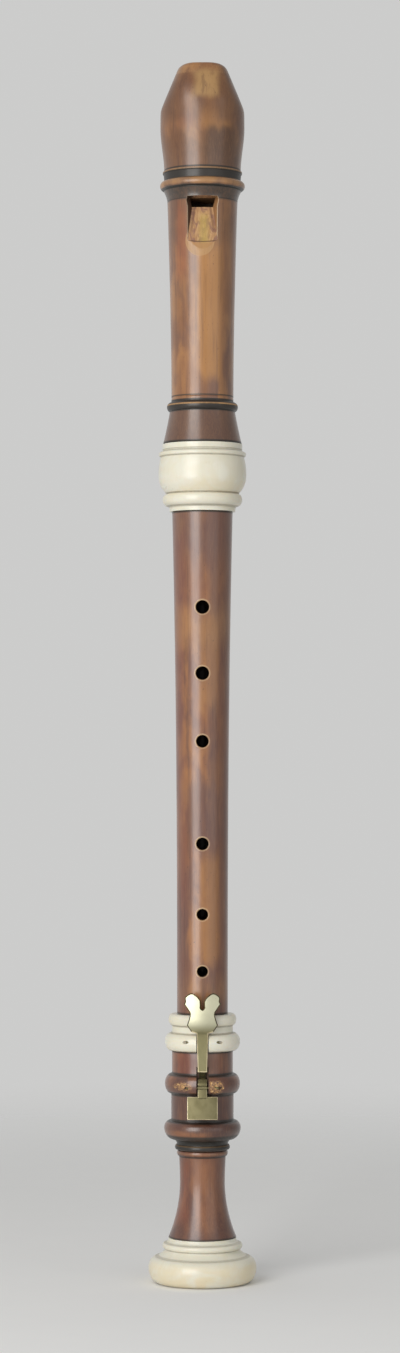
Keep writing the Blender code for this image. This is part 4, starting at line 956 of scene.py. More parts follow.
def makeMiddle(wood, bore):
    size = middleWood
    low = zMiddle - size["tenonLength"]
    high = zShoulder + size["tenonLength"]
    steps = size["steps"]
    profile = tenonProfile(size["lowerTenon"], zMiddle, low)[::-1]
    heights = [zMiddle + size["length"] * i / steps for i in range(steps + 1)]
    profile += [(middleRadius(z), z) for z in heights]
    profile += tenonProfile(size["upperTenon"], zShoulder, high)
    profile = softCorners(profile, 0.2)
    profile += [(size["boreTop"], high), (size["boreEnd"], low)]
    shape = spinProfile(profile)
    paintFaces(shape, 1, lambda centre, normal: normal.x * centre.x + normal.y * centre.y < -0.5)
    middle = makeSolid("middle_wood", shape, [wood, bore])
    holes = [("finger_hole_cutter", hole, -1, size["rimRound"]) for hole in fingerHoles]
    holes.append(("thumb_hole_cutter", thumbHole, 1, size["thumbWear"]))
    cutters = []
    for name, (drop, diameter), side, lip in holes:
        cutters.append(makeToneHoleCutter(name, zShoulder - drop, diameter, side, wood, bore, lip))
    carve(middle, cutters)
    return seat(middle, "middle", ["middle_joint"])


lapping = {
    "threadDiameter": 0.46, "pitch": 0.47, "facetsPerTurn": 44, "threadFacets": 8,
    "sleeveCover": 0.3, "sleeveFacets": 96, "inset": 0.15, "seat": 0.1,
}


def makeLapping(name, look, radius, shoulder, end, body, node):
    # Waxed thread wound side by side over an under layer, as one unbroken strand
    way = 1 if end > shoulder else -1
    margin = middleWood["lappingMargin"] + lapping["inset"]
    low, high = sorted((shoulder + way * margin, end - way * margin))
    floor = radius - middleWood["lappingDepth"] + lapping["seat"]
    sleeve = radius - lapping["sleeveCover"]
    tube = [(floor, low), (sleeve, low), (sleeve, high), (floor, high)]
    bm = spinProfile(tube, lapping["sleeveFacets"])
    thread = lapping["threadDiameter"] / 2
    turns = int((high - low - 2 * thread) / lapping["pitch"])
    tip = Matrix.Translation((radius - thread, 0, low + thread)) @ Matrix.Rotation(math.pi / 2, 4, "X")
    ring = bmesh.ops.create_circle(bm, segments=lapping["threadFacets"], radius=thread, matrix=tip)["verts"]
    edges = list({edge for v in ring for edge in v.link_edges})
    steps = turns * lapping["facetsPerTurn"]
    spun = bmesh.ops.spin(
        bm, geom=ring + edges, cent=(0, 0, 0), axis=(0, 0, 1), dvec=(0, 0, lapping["pitch"] * turns / steps),
        angle=2 * math.pi * turns, steps=steps, use_merge=False, use_duplicate=False,
    )
    last = [item for item in spun["geom_last"] if isinstance(item, bmesh.types.BMEdge)]
    bmesh.ops.contextual_create(bm, geom=last)
    bmesh.ops.contextual_create(bm, geom=edges)
    bmesh.ops.recalc_face_normals(bm, faces=bm.faces)
    winding = makeSolid(name, bm, [look])
    return seat(winding, body, [node])


# Foot: the wooden joint with its two rings, the ferrule and the bell mount

footWood = {
    "flareLow": 18.1, "waist": 12.0, "flareLength": 30.0, "neck": 12.5, "neckLength": 13.6,
    "neckBead": 13.6, "neckBeadHeight": 3.4, "collar": 14.7, "collarHeight": 2.9,
    "cove": 13.6, "coveHeight": 2.6, "ring": 20.5, "ringFoot": 15.2, "ringHeight": 10.3, "ringCrest": 0.62,
    "padBarrel": 16.7, "padBarrelLength": 14.3, "keyRing": 20.1, "keyRingHeight": 10.7,
    "upperBarrel": 16.3, "upperBarrelLength": 12.0, "spigot": 14.9, "boreTop": 8.2, "boreEnd": 7.4,
    "bellSpigot": 13.0, "socket": 12.0, "tenonLength": 28.5,
}

bellMount = {
    "height": 24.1, "flat": 23.2, "crest": 28.9, "crestHeight": 7.9, "groove": 24.3, "grooveHeight": 14.1,
    "cove": 19.8, "coveHeight": 4.0, "bead": 21.4, "beadHeight": 3.4, "lip": 3.0,
}

ferrule = {
    "bead": 20.1, "beadHeight": 9.5, "waist": 16.3, "waistHeight": 3.9, "top": 18.1, "edge": 17.2, "lip": 2.3,
}

zFlareTop = bellMount["height"] + footWood["flareLength"]
zNeckBead = zFlareTop + footWood["neckLength"]
zCollar = zNeckBead + footWood["neckBeadHeight"]
zFootCove = zCollar + footWood["collarHeight"]
zLowRing = zFootCove + footWood["coveHeight"]
zPadBarrel = zLowRing + footWood["ringHeight"]
zKeyRing = zPadBarrel + footWood["padBarrelLength"]
zUpperBarrel = zKeyRing + footWood["keyRingHeight"]
zWaist = zFerrule + ferrule["beadHeight"]
zTopBead = zWaist + ferrule["waistHeight"]

key = {
    "axleRadius": 0.7, "axleDepth": 2.3, "touchAxleRise": 5.5, "padAxleRise": 4.3, "lug": 1.5,
    "touchWidth": 19.2, "reach": 26.1, "plate": 1.3, "clearance": 2.8, "dish": 1.7, "crown": 1.6,
    "crestDrop": 12.9, "bellyDrop": 16.8, "notchDepth": 8.5, "notchRadius": 1.05,
    "pointWidth": 19.6, "pointDrop": 5.6, "waistWidth": 13.2, "waistDrop": 11.2,
    "hipWidth": 16.4, "hipDrop": 16.9, "heelWidth": 11.8, "heelDrop": 20.3, "neckDrop": 21.1, "neckBend": 1.5,
    "shank": 6.2, "shankEnd": 5.0, "shankThickness": 1.8, "proud": 0.3, "shankReach": 15.6,
    "tongue": 3.6, "tongueThickness": 1.2, "tongueLap": 1.2, "slotWidth": 6.5, "sideGap": 0.2,
    "padShank": 4.8, "padShankThickness": 1.8, "nose": 4.6, "noseTip": 1.0,
    "flapWidth": 16.1, "flapLength": 12.2, "flap": 1.4, "flapDrop": 4.7,
    "openAngle": math.radians(14.0), "play": 0.2, "edge": 0.32, "rim": 0.5, "rimDrop": 0.28,
    "padWidth": 13.5, "padLength": 9.2, "pad": 2.0, "padEdge": 0.4, "toneHole": 6.5,
    "spring": 0.35, "touchSpring": 3.4, "padSpring": 3.0, "rivetDrop": 12.6, "springRoot": 1.6,
    "rivet": 0.6, "rivetHead": 1.0, "rivetHeadHeight": 0.4, "rivetRoot": 0.7, "metalGap": 0.1,
    "pinReach": 40, "pinFacets": 24, "pinInset": 0.7, "pinPoint": 0.25, "rowStep": 0.5, "columnStep": 0.8,
    "padSquareness": 7, "padTuck": 0.07, "padRimDrop": 0.30, "padDome": 0.14,
}

touchAxle = Vector((0, key["axleDepth"] - ferrule["bead"], zFerrule + key["touchAxleRise"]))
padAxle = Vector((0, key["axleDepth"] - footWood["keyRing"], zKeyRing + key["padAxleRise"]))
flapBack = key["padShankThickness"] / 2 - key["metalGap"]
noseDepth = flapBack * math.cos(key["openAngle"]) + key["nose"] * math.sin(key["openAngle"])
tongueFront = padAxle.y + noseDepth + key["play"]
slotFloor = tongueFront + key["tongueThickness"] + gap
padSeat = padAxle.y + flapBack + key["metalGap"] + key["pad"] + gap
padCentre = padAxle.z - key["flapDrop"] - key["flapLength"] + key["padEdge"] + key["padLength"] / 2


def makeBellMount(look):
    size = bellMount
    zGroove = size["grooveHeight"]
    zCove = zGroove + size["coveHeight"]
    zBead = zCove + size["beadHeight"]
    zFillet = (zBead + size["height"]) / 2
    crest = (size["crest"], size["crestHeight"])
    groove = (size["groove"], zGroove)
    profile = [(size["flat"], 0)] + rise((size["flat"], 0), crest, 14)
    profile += fall(crest, groove, 14)
    profile += arrive(groove, (size["cove"], zCove), 1.6, 8)
    profile += bead((size["cove"], zCove), size["bead"], (size["cove"], zBead))
    profile += arrive((size["cove"], zBead), (footWood["flareLow"], zFillet), 1.5, 5)
    profile += [(footWood["flareLow"], size["height"])]
    bore = footWood["bellSpigot"] + gap
    end = footWood["boreEnd"] + gap
    profile += [(bore, size["height"]), (bore, size["lip"]), (end, size["lip"]), (end, 0)]
    mount = makeSolid("foot_bell_mount", spinProfile(softCorners(profile, 0.22)), [look])
    return seat(mount, "foot", ["foot_bell_ring"])


def makeAxleCutter(name, axle, look):
    reach = Vector((key["pinReach"], 0, 0))
    rod = rodMesh(key["axleRadius"] + key["metalGap"], axle - reach, axle + reach, key["pinFacets"])
    return makeSolid(name, rod, [look])


def makeFerrule(look, dirt):
    size = ferrule
    edge = (size["edge"], zFerrule)
    waistTop = (size["waist"], zTopBead)
    profile = [edge] + bead(edge, size["bead"], (size["waist"], zWaist), 0.5, 12)
    profile += [waistTop] + bead(waistTop, size["top"], (size["waist"], zFootTop), 0.5, 10)
    bore = footWood["spigot"] + gap
    zLip = zFootTop - size["lip"]
    profile += [(footWood["socket"], zFootTop), (footWood["socket"], zLip), (bore, zLip), (bore, zFerrule)]
    mount = makeSolid("foot_ferrule_mount", spinProfile(softCorners(profile, 0.22)), [look, dirt])
    half = key["shank"] / 2 + key["sideGap"]
    floor = touchAxle.y + key["lug"] + gap
    slot = boxMesh((-half, -2 * size["bead"], zFerrule - gap), (half, floor, zWaist))
    slotCutter = makeSolid("ferrule_slot", slot, [look])
    carve(mount, [slotCutter, makeAxleCutter("ferrule_pin_hole", touchAxle, dirt)])
    return seat(mount, "foot", ["foot_socket_ring"])


def makeChipCutters(look):
    # Splintered wood round the pin's ends: small flat facets broken out of the ring
    chips = (  # across, up, width, height, depth, turn
        (-10.6, 106.2, 3.2, 2.4, 1.5, 0.5), (-8.4, 104.9, 2.0, 1.7, 1.1, -0.4),
        (-13.0, 107.2, 2.2, 1.3, 1.0, 0.3), (-14.6, 105.6, 1.6, 1.0, 0.8, -0.2),
        (4.6, 108.3, 1.8, 2.5, 1.2, 0.3), (7.2, 106.4, 2.6, 2.8, 1.6, -0.6),
        (9.6, 107.9, 2.2, 1.5, 1.2, 0.8), (5.0, 103.9, 2.0, 1.9, 1.1, -0.2),
        (10.9, 105.4, 1.6, 1.6, 1.0, 0.2), (7.8, 103.4, 1.8, 1.1, 0.9, 0.5),
    )
    half = footWood["keyRingHeight"] / 2
    zCrest = zKeyRing + half
    bulge = footWood["keyRing"] - footWood["upperBarrel"]
    cutters = []
    for x, z, width, height, depth, turn in chips:
        climb = (z - zCrest) / half
        surface = footWood["upperBarrel"] + bulge * math.sqrt(max(0.0, 1 - climb * climb))
        bm = bmesh.new()
        bmesh.ops.create_icosphere(bm, subdivisions=1, radius=1.0)
        bmesh.ops.scale(bm, vec=(width / 2, depth, height / 2), verts=bm.verts)
        turnMesh(bm, Matrix.Rotation(turn, 3, "Y"))
        y = -math.sqrt(surface ** 2 - x ** 2)
        cutters.append(makeSolid("chip_cutter", bm, [look], (x, y - 0.25 * depth, z)))
    return cutters


def makeFoot(wood, bore, chipped):
    size = footWood
    zFlare = bellMount["height"] + gap
    flare = (size["flareLow"], zFlare)
    narrow = (size["waist"], zFlareTop)
    neck = (size["neck"], zNeckBead)
    cove = (size["cove"], zFootCove)
    ring = (size["ringFoot"], zLowRing)
    profile = [flare] + arrive(flare, narrow, 2.0, 24) + leave(narrow, neck, 1.5, 10)
    profile += bead(neck, size["neckBead"], (size["neck"], zCollar), 0.5, 7)
    profile += [(size["cove"], zCollar)] + bead((size["cove"], zCollar), size["collar"], cove, 0.45, 6)
    profile += leave(cove, ring, 2.0, 6)
    profile += bead(ring, size["ring"], (size["padBarrel"], zPadBarrel), size["ringCrest"], 14)
    profile += [(size["padBarrel"], zPadBarrel + 5), (size["padBarrel"], zPadBarrel + 10)]
    profile += [(size["padBarrel"], zKeyRing)]
    profile += bead(profile[-1], size["keyRing"], (size["upperBarrel"], zUpperBarrel), 0.5, 14)
    zSpigot = zFerrule - gap
    zEnd = zFootTop - ferrule["lip"] - gap
    profile += [(size["upperBarrel"], zUpperBarrel + 4), (size["upperBarrel"], zUpperBarrel + 8)]
    profile += [(size["upperBarrel"], zSpigot), (size["spigot"], zSpigot)]
    profile += [(size["spigot"], zEnd), (size["socket"], zEnd)]
    zFloor = zFootTop - size["tenonLength"]
    zLow = bellMount["lip"] + gap
    profile += [(size["socket"], zFloor), (size["boreTop"], zFloor)]
    profile += [(size["boreEnd"], zLow), (size["bellSpigot"], zLow), (size["bellSpigot"], zFlare)]
    shape = spinProfile(softCorners(profile, 0.22))
    paintFaces(shape, 1, lambda centre, normal: normal.x * centre.x + normal.y * centre.y < -0.5
               and math.hypot(centre.x, centre.y) < size["socket"] + 0.2)
    foot = makeSolid("foot_wood", shape, [wood, bore, chipped])

    far = -2 * size["keyRing"]
    wide = key["flapWidth"]
    seatBox = boxMesh((-wide, far, zPadBarrel + gap), (wide, padSeat, zKeyRing))
    slotTop = touchAxle.z - key["shankReach"] + key["shankThickness"] + 2 * gap
    half = key["slotWidth"] / 2
    slotBox = boxMesh((-half, far, zKeyRing - gap), (half, slotFloor, slotTop))
    hole = rodMesh(key["toneHole"] / 2, (0, far, padCentre), (0, -size["boreEnd"] / 2, padCentre))
    cutters = [
        makeSolid("pad_seat", seatBox, [wood]), makeSolid("key_slot", slotBox, [bore]),
        makeSolid("pad_tone_hole", hole, [bore]), makeAxleCutter("foot_pin_hole", padAxle, bore),
    ]
    carve(foot, cutters)
    for cutter in makeChipCutters(chipped):
        carve(foot, [cutter])
    return seat(foot, "foot", ["foot_joint"])


# Key: touch lever, flap lever, their pins, leaf springs, rivets and the leather pad

def touchOutline():
    # Right half of the touch from the front: notch, lobe, point, waist, hip, heel and shank
    top = key["reach"]
    lobe = key["touchWidth"] / 2
    point = key["pointWidth"] / 2
    notch = top - key["notchDepth"]
    zPoint = top - key["pointDrop"]
    zNarrow = top - key["waistDrop"]
    lobeKnots = [
        (key["notchRadius"], notch + key["notchRadius"]),
        (0.12 * lobe, top - 0.44 * key["notchDepth"]), (0.36 * lobe, top - 0.12 * key["notchDepth"]),
        (0.64 * lobe, top), (0.95 * lobe, top - 0.36 * key["pointDrop"]),
        (0.95 * lobe, top - 0.78 * key["pointDrop"]), (point, zPoint),
    ]
    sideKnots = [
        (point, zPoint), (0.80 * point, (zPoint + zNarrow) / 2), (key["waistWidth"] / 2, zNarrow),
        (key["hipWidth"] / 2, top - key["hipDrop"]),
    ]
    points = [(0, notch), (0.6 * key["notchRadius"], notch + 0.3 * key["notchRadius"])]
    points += spline(lobeKnots, 8) + spline(sideKnots, 8)[1:]
    points += [(key["heelWidth"] / 2, top - key["heelDrop"]), (key["shank"] / 2, top - key["neckDrop"])]
    points += leave(points[-1], (key["shankEnd"] / 2, -key["shankReach"]), 1.0, 12)
    return points


def touchFront():
    # Depth of the lever's face against height, both from the axle
    front = -key["axleDepth"] - key["proud"]
    plate = -ferrule["top"] - key["clearance"] - touchAxle.y - key["plate"]
    top = key["reach"]
    zBend = top - key["neckDrop"] - key["neckBend"]
    knots = [
        (front, -key["shankReach"]), (front, -5.0), (front, zBend),
        (0.65 * front + 0.35 * plate, zBend + 1.5 * key["neckBend"]),
        (plate + 0.18 * key["dish"], top - key["bellyDrop"]), (plate, top - key["crestDrop"]),
        (plate + 0.24 * key["dish"], top - key["pointDrop"]), (plate + key["dish"], top),
    ]
    return spline(knots, 10)


def makeTouch(look, shadedRim, glinting):
    outline = touchOutline()
    mirrored = outline + [(-x, z) for x, z in outline[::-1] if x > 0]
    face = touchFront()
    bm = bmesh.new()
    plate = bm.faces.new([bm.verts.new((x, 0, z)) for x, z in mirrored])
    bm.normal_update()
    rim = {"thickness": key["rim"], "use_boundary": True, "use_even_offset": True}
    # The rim carries painted shade round the lobes and a painted highlight along the shank
    zLobes = key["reach"] - key["heelDrop"]
    for strip in bmesh.ops.inset_region(bm, faces=[plate], **rim)["faces"]:
        strip.material_index = 1 if strip.calc_center_median().z > zLobes else 2
    # Rows and columns of cuts let the flat plate be bent
    cuts = [((0, 0, key["rowStep"] * i), (0, 0, 1)) for i in range(-31, 52)]
    cuts += [((key["columnStep"] * i, 0, 0), (1, 0, 0)) for i in range(-12, 13)]
    for place, normal in cuts:
        geometry = bm.verts[:] + bm.edges[:] + bm.faces[:]
        bmesh.ops.bisect_plane(bm, geom=geometry, dist=1e-4, plane_co=place, plane_no=normal)
    outer = [v for v in bm.verts if v.is_boundary]
    pushOut(bm, bm.faces[:], (0, 1, 0))
    for v in outer:
        v.co.y = key["rimDrop"] / key["plate"]
    bmesh.ops.recalc_face_normals(bm, faces=bm.faces)
    zBend = key["reach"] - key["neckDrop"] - key["neckBend"]
    for v in bm.verts:
        into = v.co.y
        inPlate = min(1.0, max(0.0, (v.co.z - zBend) / 4.0))
        thickness = key["shankThickness"] + (key["plate"] - key["shankThickness"]) * inPlate
        crown = key["crown"] * inPlate * (v.co.x / (key["touchWidth"] / 2)) ** 2
        v.co.y = lerp(face, v.co.z) + crown + into * thickness
    bm.normal_update()
    corners = [edge for edge in bm.edges if edge.calc_face_angle(0) > math.radians(50)]
    softenEdges(bm, corners, 0.5 * key["edge"])
    touch = makeSolid("touch_plate", bm, [look, shadedRim, glinting], touchAxle)

    half = key["shankEnd"] / 2 - 0.1
    back = tongueFront - touchAxle.y + key["tongueThickness"]
    zFoot = -key["shankReach"] + key["shankThickness"]
    zTongue = padAxle.z + key["nose"] * math.cos(key["openAngle"]) - touchAxle.z - key["tongueLap"]
    foot = boxMesh((-half, -2.2, -key["shankReach"] + 0.05), (half, back - 0.03, zFoot), 0.2)
    tongue = boxMesh((-key["tongue"] / 2, back - key["tongueThickness"], zTongue),
                     (key["tongue"] / 2, back, zFoot - 0.2), 0.15)
    lug = rodMesh(key["lug"], (-key["shankEnd"] / 2 - 0.15, 0, 0), (key["shankEnd"] / 2 + 0.15, 0, 0))
    for name, extra in (("touch_foot", foot), ("touch_tongue", tongue), ("touch_lug", lug)):
        carve(touch, [makeSolid(name, extra, [look], touchAxle)], "UNION")
    carve(touch, [makeAxleCutter("touch_bore", touchAxle, look)])
    return seat(touch, "touch", ["touch_lever"])


def openFlap(bm):
    # The flap stands open at rest, turned about its pin
    turnMesh(bm, Matrix.Rotation(-key["openAngle"], 3, "X"))
    return bm


def makeFlap(look, glinting):
    back = flapBack
    front = back - key["padShankThickness"]
    half = key["padShank"] / 2
    flapTop = -key["flapDrop"]
    shankOutline = [
        (back, flapTop - 2.0), (front + 0.9, flapTop - 2.0), (front, flapTop - 0.6), (front, key["nose"] / 2),
        (back - key["noseTip"], key["nose"]), (back, key["nose"]),
    ]
    shank = extrudeOutline(shankOutline, "X", -half, half)
    softenEdges(shank, shank.edges[:], 0.18)
    # Painted highlight on the shank's side and top edges
    paintFaces(shank, 1, lambda centre, normal: 0.2 < abs(normal.x) < 0.98 or 0.5 < normal.z < 0.98)
    flap = makeSolid("flap_plate", openFlap(shank), [look, glinting], padAxle)
    width = key["flapWidth"] / 2
    low = (-width, back - key["flap"], flapTop - key["flapLength"])
    plate = boxMesh(low, (width, back + 0.01, flapTop), key["edge"])
    # Painted highlight on the leaf's edges
    paintFaces(plate, 1, lambda centre, normal: max(abs(part) for part in normal) < 0.98)
    lug = rodMesh(key["lug"], (-half + 0.1, 0, 0), (half - 0.1, 0, 0))
    for name, extra in (("flap_leaf", plate), ("flap_lug", lug)):
        carve(flap, [makeSolid(name, openFlap(extra), [look, glinting], padAxle)], "UNION")
    carve(flap, [makeAxleCutter("flap_bore", padAxle, look)])
    return seat(flap, "pad", ["pad_lever"])


def makePin(name, look, axle, ringRadius, node):
    # The pin's ends lie a little inside the ring
    half = math.sqrt(ringRadius ** 2 - axle.y ** 2) - key["pinInset"]
    full = half - key["pinPoint"]
    radius = key["axleRadius"]
    tip = [(0, -half), (radius * 0.7, -half), (radius, -full)]
    profile = tip + [(across, -along) for across, along in tip[::-1]]
    bm = spinProfile(profile, key["pinFacets"])
    turnMesh(bm, Matrix.Rotation(math.pi / 2, 3, "Y"))
    return seat(makeSolid(name, bm, [look], axle), "foot", [node])


def makeRivet(name, look, place, inwards, body, node):
    # Only its domed head shows, under the lever
    depth = key["rivetRoot"] + key["spring"] + 2 * key["metalGap"]
    head = key["rivetHead"]
    profile = [(0, 0), (key["rivet"], 0), (key["rivet"], depth), (head, depth)]
    profile += fall((head, depth + 0.1), (0, depth + key["rivetHeadHeight"]), 5)
    profile[-1] = (0, profile[-1][1])
    bm = spinProfile(profile, key["pinFacets"])
    turnMesh(bm, inwards)
    return seat(makeSolid(name, bm, [look], place), body, [node])


def leafSpring(path, width):
    # A strip that follows a path of (in, up) at its mid thickness
    left = []
    right = []
    for i, point in enumerate(path):
        before = Vector(path[max(0, i - 1)])
        after = Vector(path[min(len(path) - 1, i + 1)])
        along = (after - before).normalized()
        square = Vector((-along.y, along.x)) * key["spring"] / 2
        left.append(tuple(Vector(point) + square))
        right.append(tuple(Vector(point) - square))
    return extrudeOutline(left + right[::-1], "X", -width / 2, width / 2)


def makeTouchSpring(look):
    # Returns the place and the direction of its rivet, as makePadSpring does
    back = -ferrule["top"] - key["clearance"] - touchAxle.y
    root = back + key["metalGap"] + key["spring"] / 2
    zRoot = key["reach"] - key["rivetDrop"]
    zEnd = zWaist + ferrule["waistHeight"] * 0.3 - touchAxle.z
    tip = -ferrule["waist"] - gap - key["spring"] / 2 - touchAxle.y
    start = (root, zRoot - key["springRoot"])
    end = (tip, zEnd)
    handle = (start[1] - end[1]) / 3
    path = [(root, zRoot + key["springRoot"]), (root, zRoot), start]
    path += bezier(start, (start[0], start[1] - handle), (end[0] - 0.4 * handle, end[1] + handle), end, 20)
    spring = makeSolid("touch_leaf_spring", leafSpring(path, key["touchSpring"]), [look], touchAxle)
    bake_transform(spring)
    seat(spring, None, ["touch_spring"])
    return touchAxle + Vector((0, back - key["rivetRoot"], zRoot)), Matrix.Rotation(-math.pi / 2, 3, "X")


def makePadSpring(look):
    root = flapBack + key["metalGap"] + key["spring"] / 2
    zRoot = -key["flapDrop"] - key["flapLength"] + key["padEdge"] + key["padLength"] + key["metalGap"]
    zRootTop = zRoot + 2 * key["springRoot"]
    floor = slotFloor - gap - key["spring"] / 2
    reach = Vector((floor - padAxle.y, zKeyRing + 0.6 * footWood["keyRingHeight"] - padAxle.z))
    cos = math.cos(key["openAngle"])
    sin = math.sin(key["openAngle"])
    end = (reach.x * cos - reach.y * sin, reach.x * sin + reach.y * cos)
    start = (root, zRootTop)
    handle = (end[1] - start[1]) / 3
    path = [(root, zRoot), start]
    towards = (end[0] + handle * sin, end[1] - handle * cos)
    path += bezier(start, (start[0], start[1] + handle), towards, end, 20)
    shape = openFlap(leafSpring(path, key["padSpring"]))
    spring = makeSolid("flap_leaf_spring", shape, [look], padAxle)
    turn = Matrix.Rotation(-key["openAngle"], 3, "X")
    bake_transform(spring)
    seat(spring, None, ["pad_spring"])
    place = padAxle + turn @ Vector((0, flapBack - key["rivetRoot"], (zRoot + zRootTop) / 2))
    return place, turn @ Matrix.Rotation(-math.pi / 2, 3, "X")


def makePad(look):
    # Leather drawn over felt: a crowned cushion whose edge is drawn in under the flap
    low = -key["flapDrop"] - key["flapLength"] + key["padEdge"]
    depth = key["pad"]
    y = flapBack + key["metalGap"]
    bm = bmesh.new()
    bmesh.ops.create_grid(bm, x_segments=28, y_segments=20, size=1.0)
    pushOut(bm, bm.faces[:], (0, 0, 1))
    walls = [edge for edge in bm.edges if abs(edge.verts[0].co.z - edge.verts[1].co.z) > 0.5]
    bmesh.ops.subdivide_edges(bm, edges=walls, cuts=8, use_grid_fill=True)
    halfWidth = key["padWidth"] / 2
    halfLength = key["padLength"] / 2
    power = key["padSquareness"]
    for v in bm.verts:
        u, w, t = v.co
        away = max((abs(u) ** power + abs(w) ** power) ** (1 / power), 1e-6)
        longest = max(abs(u), abs(w), 1e-6)
        u, w = u * longest / away, w * longest / away
        side = 1 - key["padTuck"] * abs(2 * t - 1) ** 3
        crown = (1 - u ** 4) * (1 - w ** 4)
        rimDrop = key["padRimDrop"] * longest ** 10
        into = t * depth - (rimDrop + key["padDome"] * (1 - crown)) * t + rimDrop * (1 - t) * 0.4
        place = min(depth, max(0.0, into))
        v.co = (u * halfWidth * side, y + place, low + halfLength + w * halfLength * side)
    bmesh.ops.recalc_face_normals(bm, faces=bm.faces)
    pad = makeSolid("leather_pad", openFlap(bm), [look], padAxle)
    seat(pad, "pad", ["key_pad"])
    return pad


# Camera, floor and light

studio = {
    "distance": 1.82, "height": 0.290, "lens": 90.5, "shiftUp": 0.0469, "shiftSide": -0.0018,
    "background": 0.605, "room": 0.36, "floorColour": 0.88, "floorFade": (260, 1100),
    "backdropWay": (-0.5, 0.866, 0),
}

lights = {
    "window_light": {
        "place": (-0.86, -1.55, 0.68), "target": (0, 0, 0.33), "size": (1.1, 1.7), "power": 27,
        "colour": (1.0, 0.99, 0.97),
    },
    "fill_light": {
        "place": (1.2, -1.5, 0.6), "target": (0, 0, 0.3), "size": (1.6, 1.4), "power": 5, "colour": (1, 1, 1),
    },
}


def makeCamera():
    camera = bpy.data.objects.new("camera", bpy.data.cameras.new("camera"))
    bpy.context.scene.collection.objects.link(camera)
    camera.data.sensor_width = 36
    camera.data.lens = studio["lens"]
    camera.data.shift_x = studio["shiftSide"]
    camera.data.shift_y = studio["shiftUp"]
    camera.location = (0, -studio["distance"], studio["height"])
    camera.rotation_euler = (math.pi / 2, 0, 0)
    bpy.context.scene.camera = camera


def makeFloor():
    look = Look("studio_floor", Specular_IOR_Level=0.0)
    away = (look.x ** 2.0 + look.y ** 2.0) ** 0.5
    paper = look.noise((30, 30, 30), 3, 0.5, 1.0)
    shade = studio["floorColour"]
    near, far = studio["floorFade"]
    colour = look.tint(paper, (shade, shade, shade * 0.995), (shade * 1.02, shade * 1.02, shade * 1.01))
    look.feed(look.shader.inputs["Base Color"], colour)
    look.feed(look.shader.inputs["Alpha"], away.fade(far, near))
    bm = bmesh.new()
    bmesh.ops.create_circle(bm, cap_ends=True, segments=128, radius=1200)
    floor = makeSolid("floor", bm, [look.material])
    floor.data.shade_flat()


def makeLight(name, place, target, size, power, colour):
    light = bpy.data.objects.new(name, bpy.data.lights.new(name, "AREA"))
    light.data.shape = "RECTANGLE"
    light.data.size = size[0]
    light.data.size_y = size[1]
    light.data.energy = power
    light.data.color = colour
    light.location = place
    light.rotation_euler = (Vector(target) - Vector(place)).to_track_quat("-Z", "Y").to_euler()
    bpy.context.scene.collection.objects.link(light)


def makeWorld():
    world = bpy.data.worlds.new("studio")
    world.use_nodes = True
    shade = studio["background"]
    # Paper white behind the recorder, and a dimmer room behind the camera
    nodes = world.node_tree.nodes
    links = world.node_tree.links
    direction = nodes.new("ShaderNodeTexCoord").outputs["Generated"]
    depth = nodes.new("ShaderNodeVectorMath")
    depth.operation = "DOT_PRODUCT"
    depth.inputs[1].default_value = studio["backdropWay"]
    links.new(direction, depth.inputs[0])
    room = nodes.new("ShaderNodeMapRange")
    room.interpolation_type = "SMOOTHSTEP"
    for socket, value in ((1, -0.2), (2, 0.8), (3, studio["room"] / shade), (4, 1.0)):
        room.inputs[socket].default_value = value
    links.new(depth.outputs["Value"], room.inputs[0])
    nodes["Background"].inputs["Color"].default_value = (shade, shade, shade * 0.99, 1)
    links.new(room.outputs[0], nodes["Background"].inputs["Strength"])
    bpy.context.scene.world = world


# The finishes, placed on this recorder: heights in millimetres

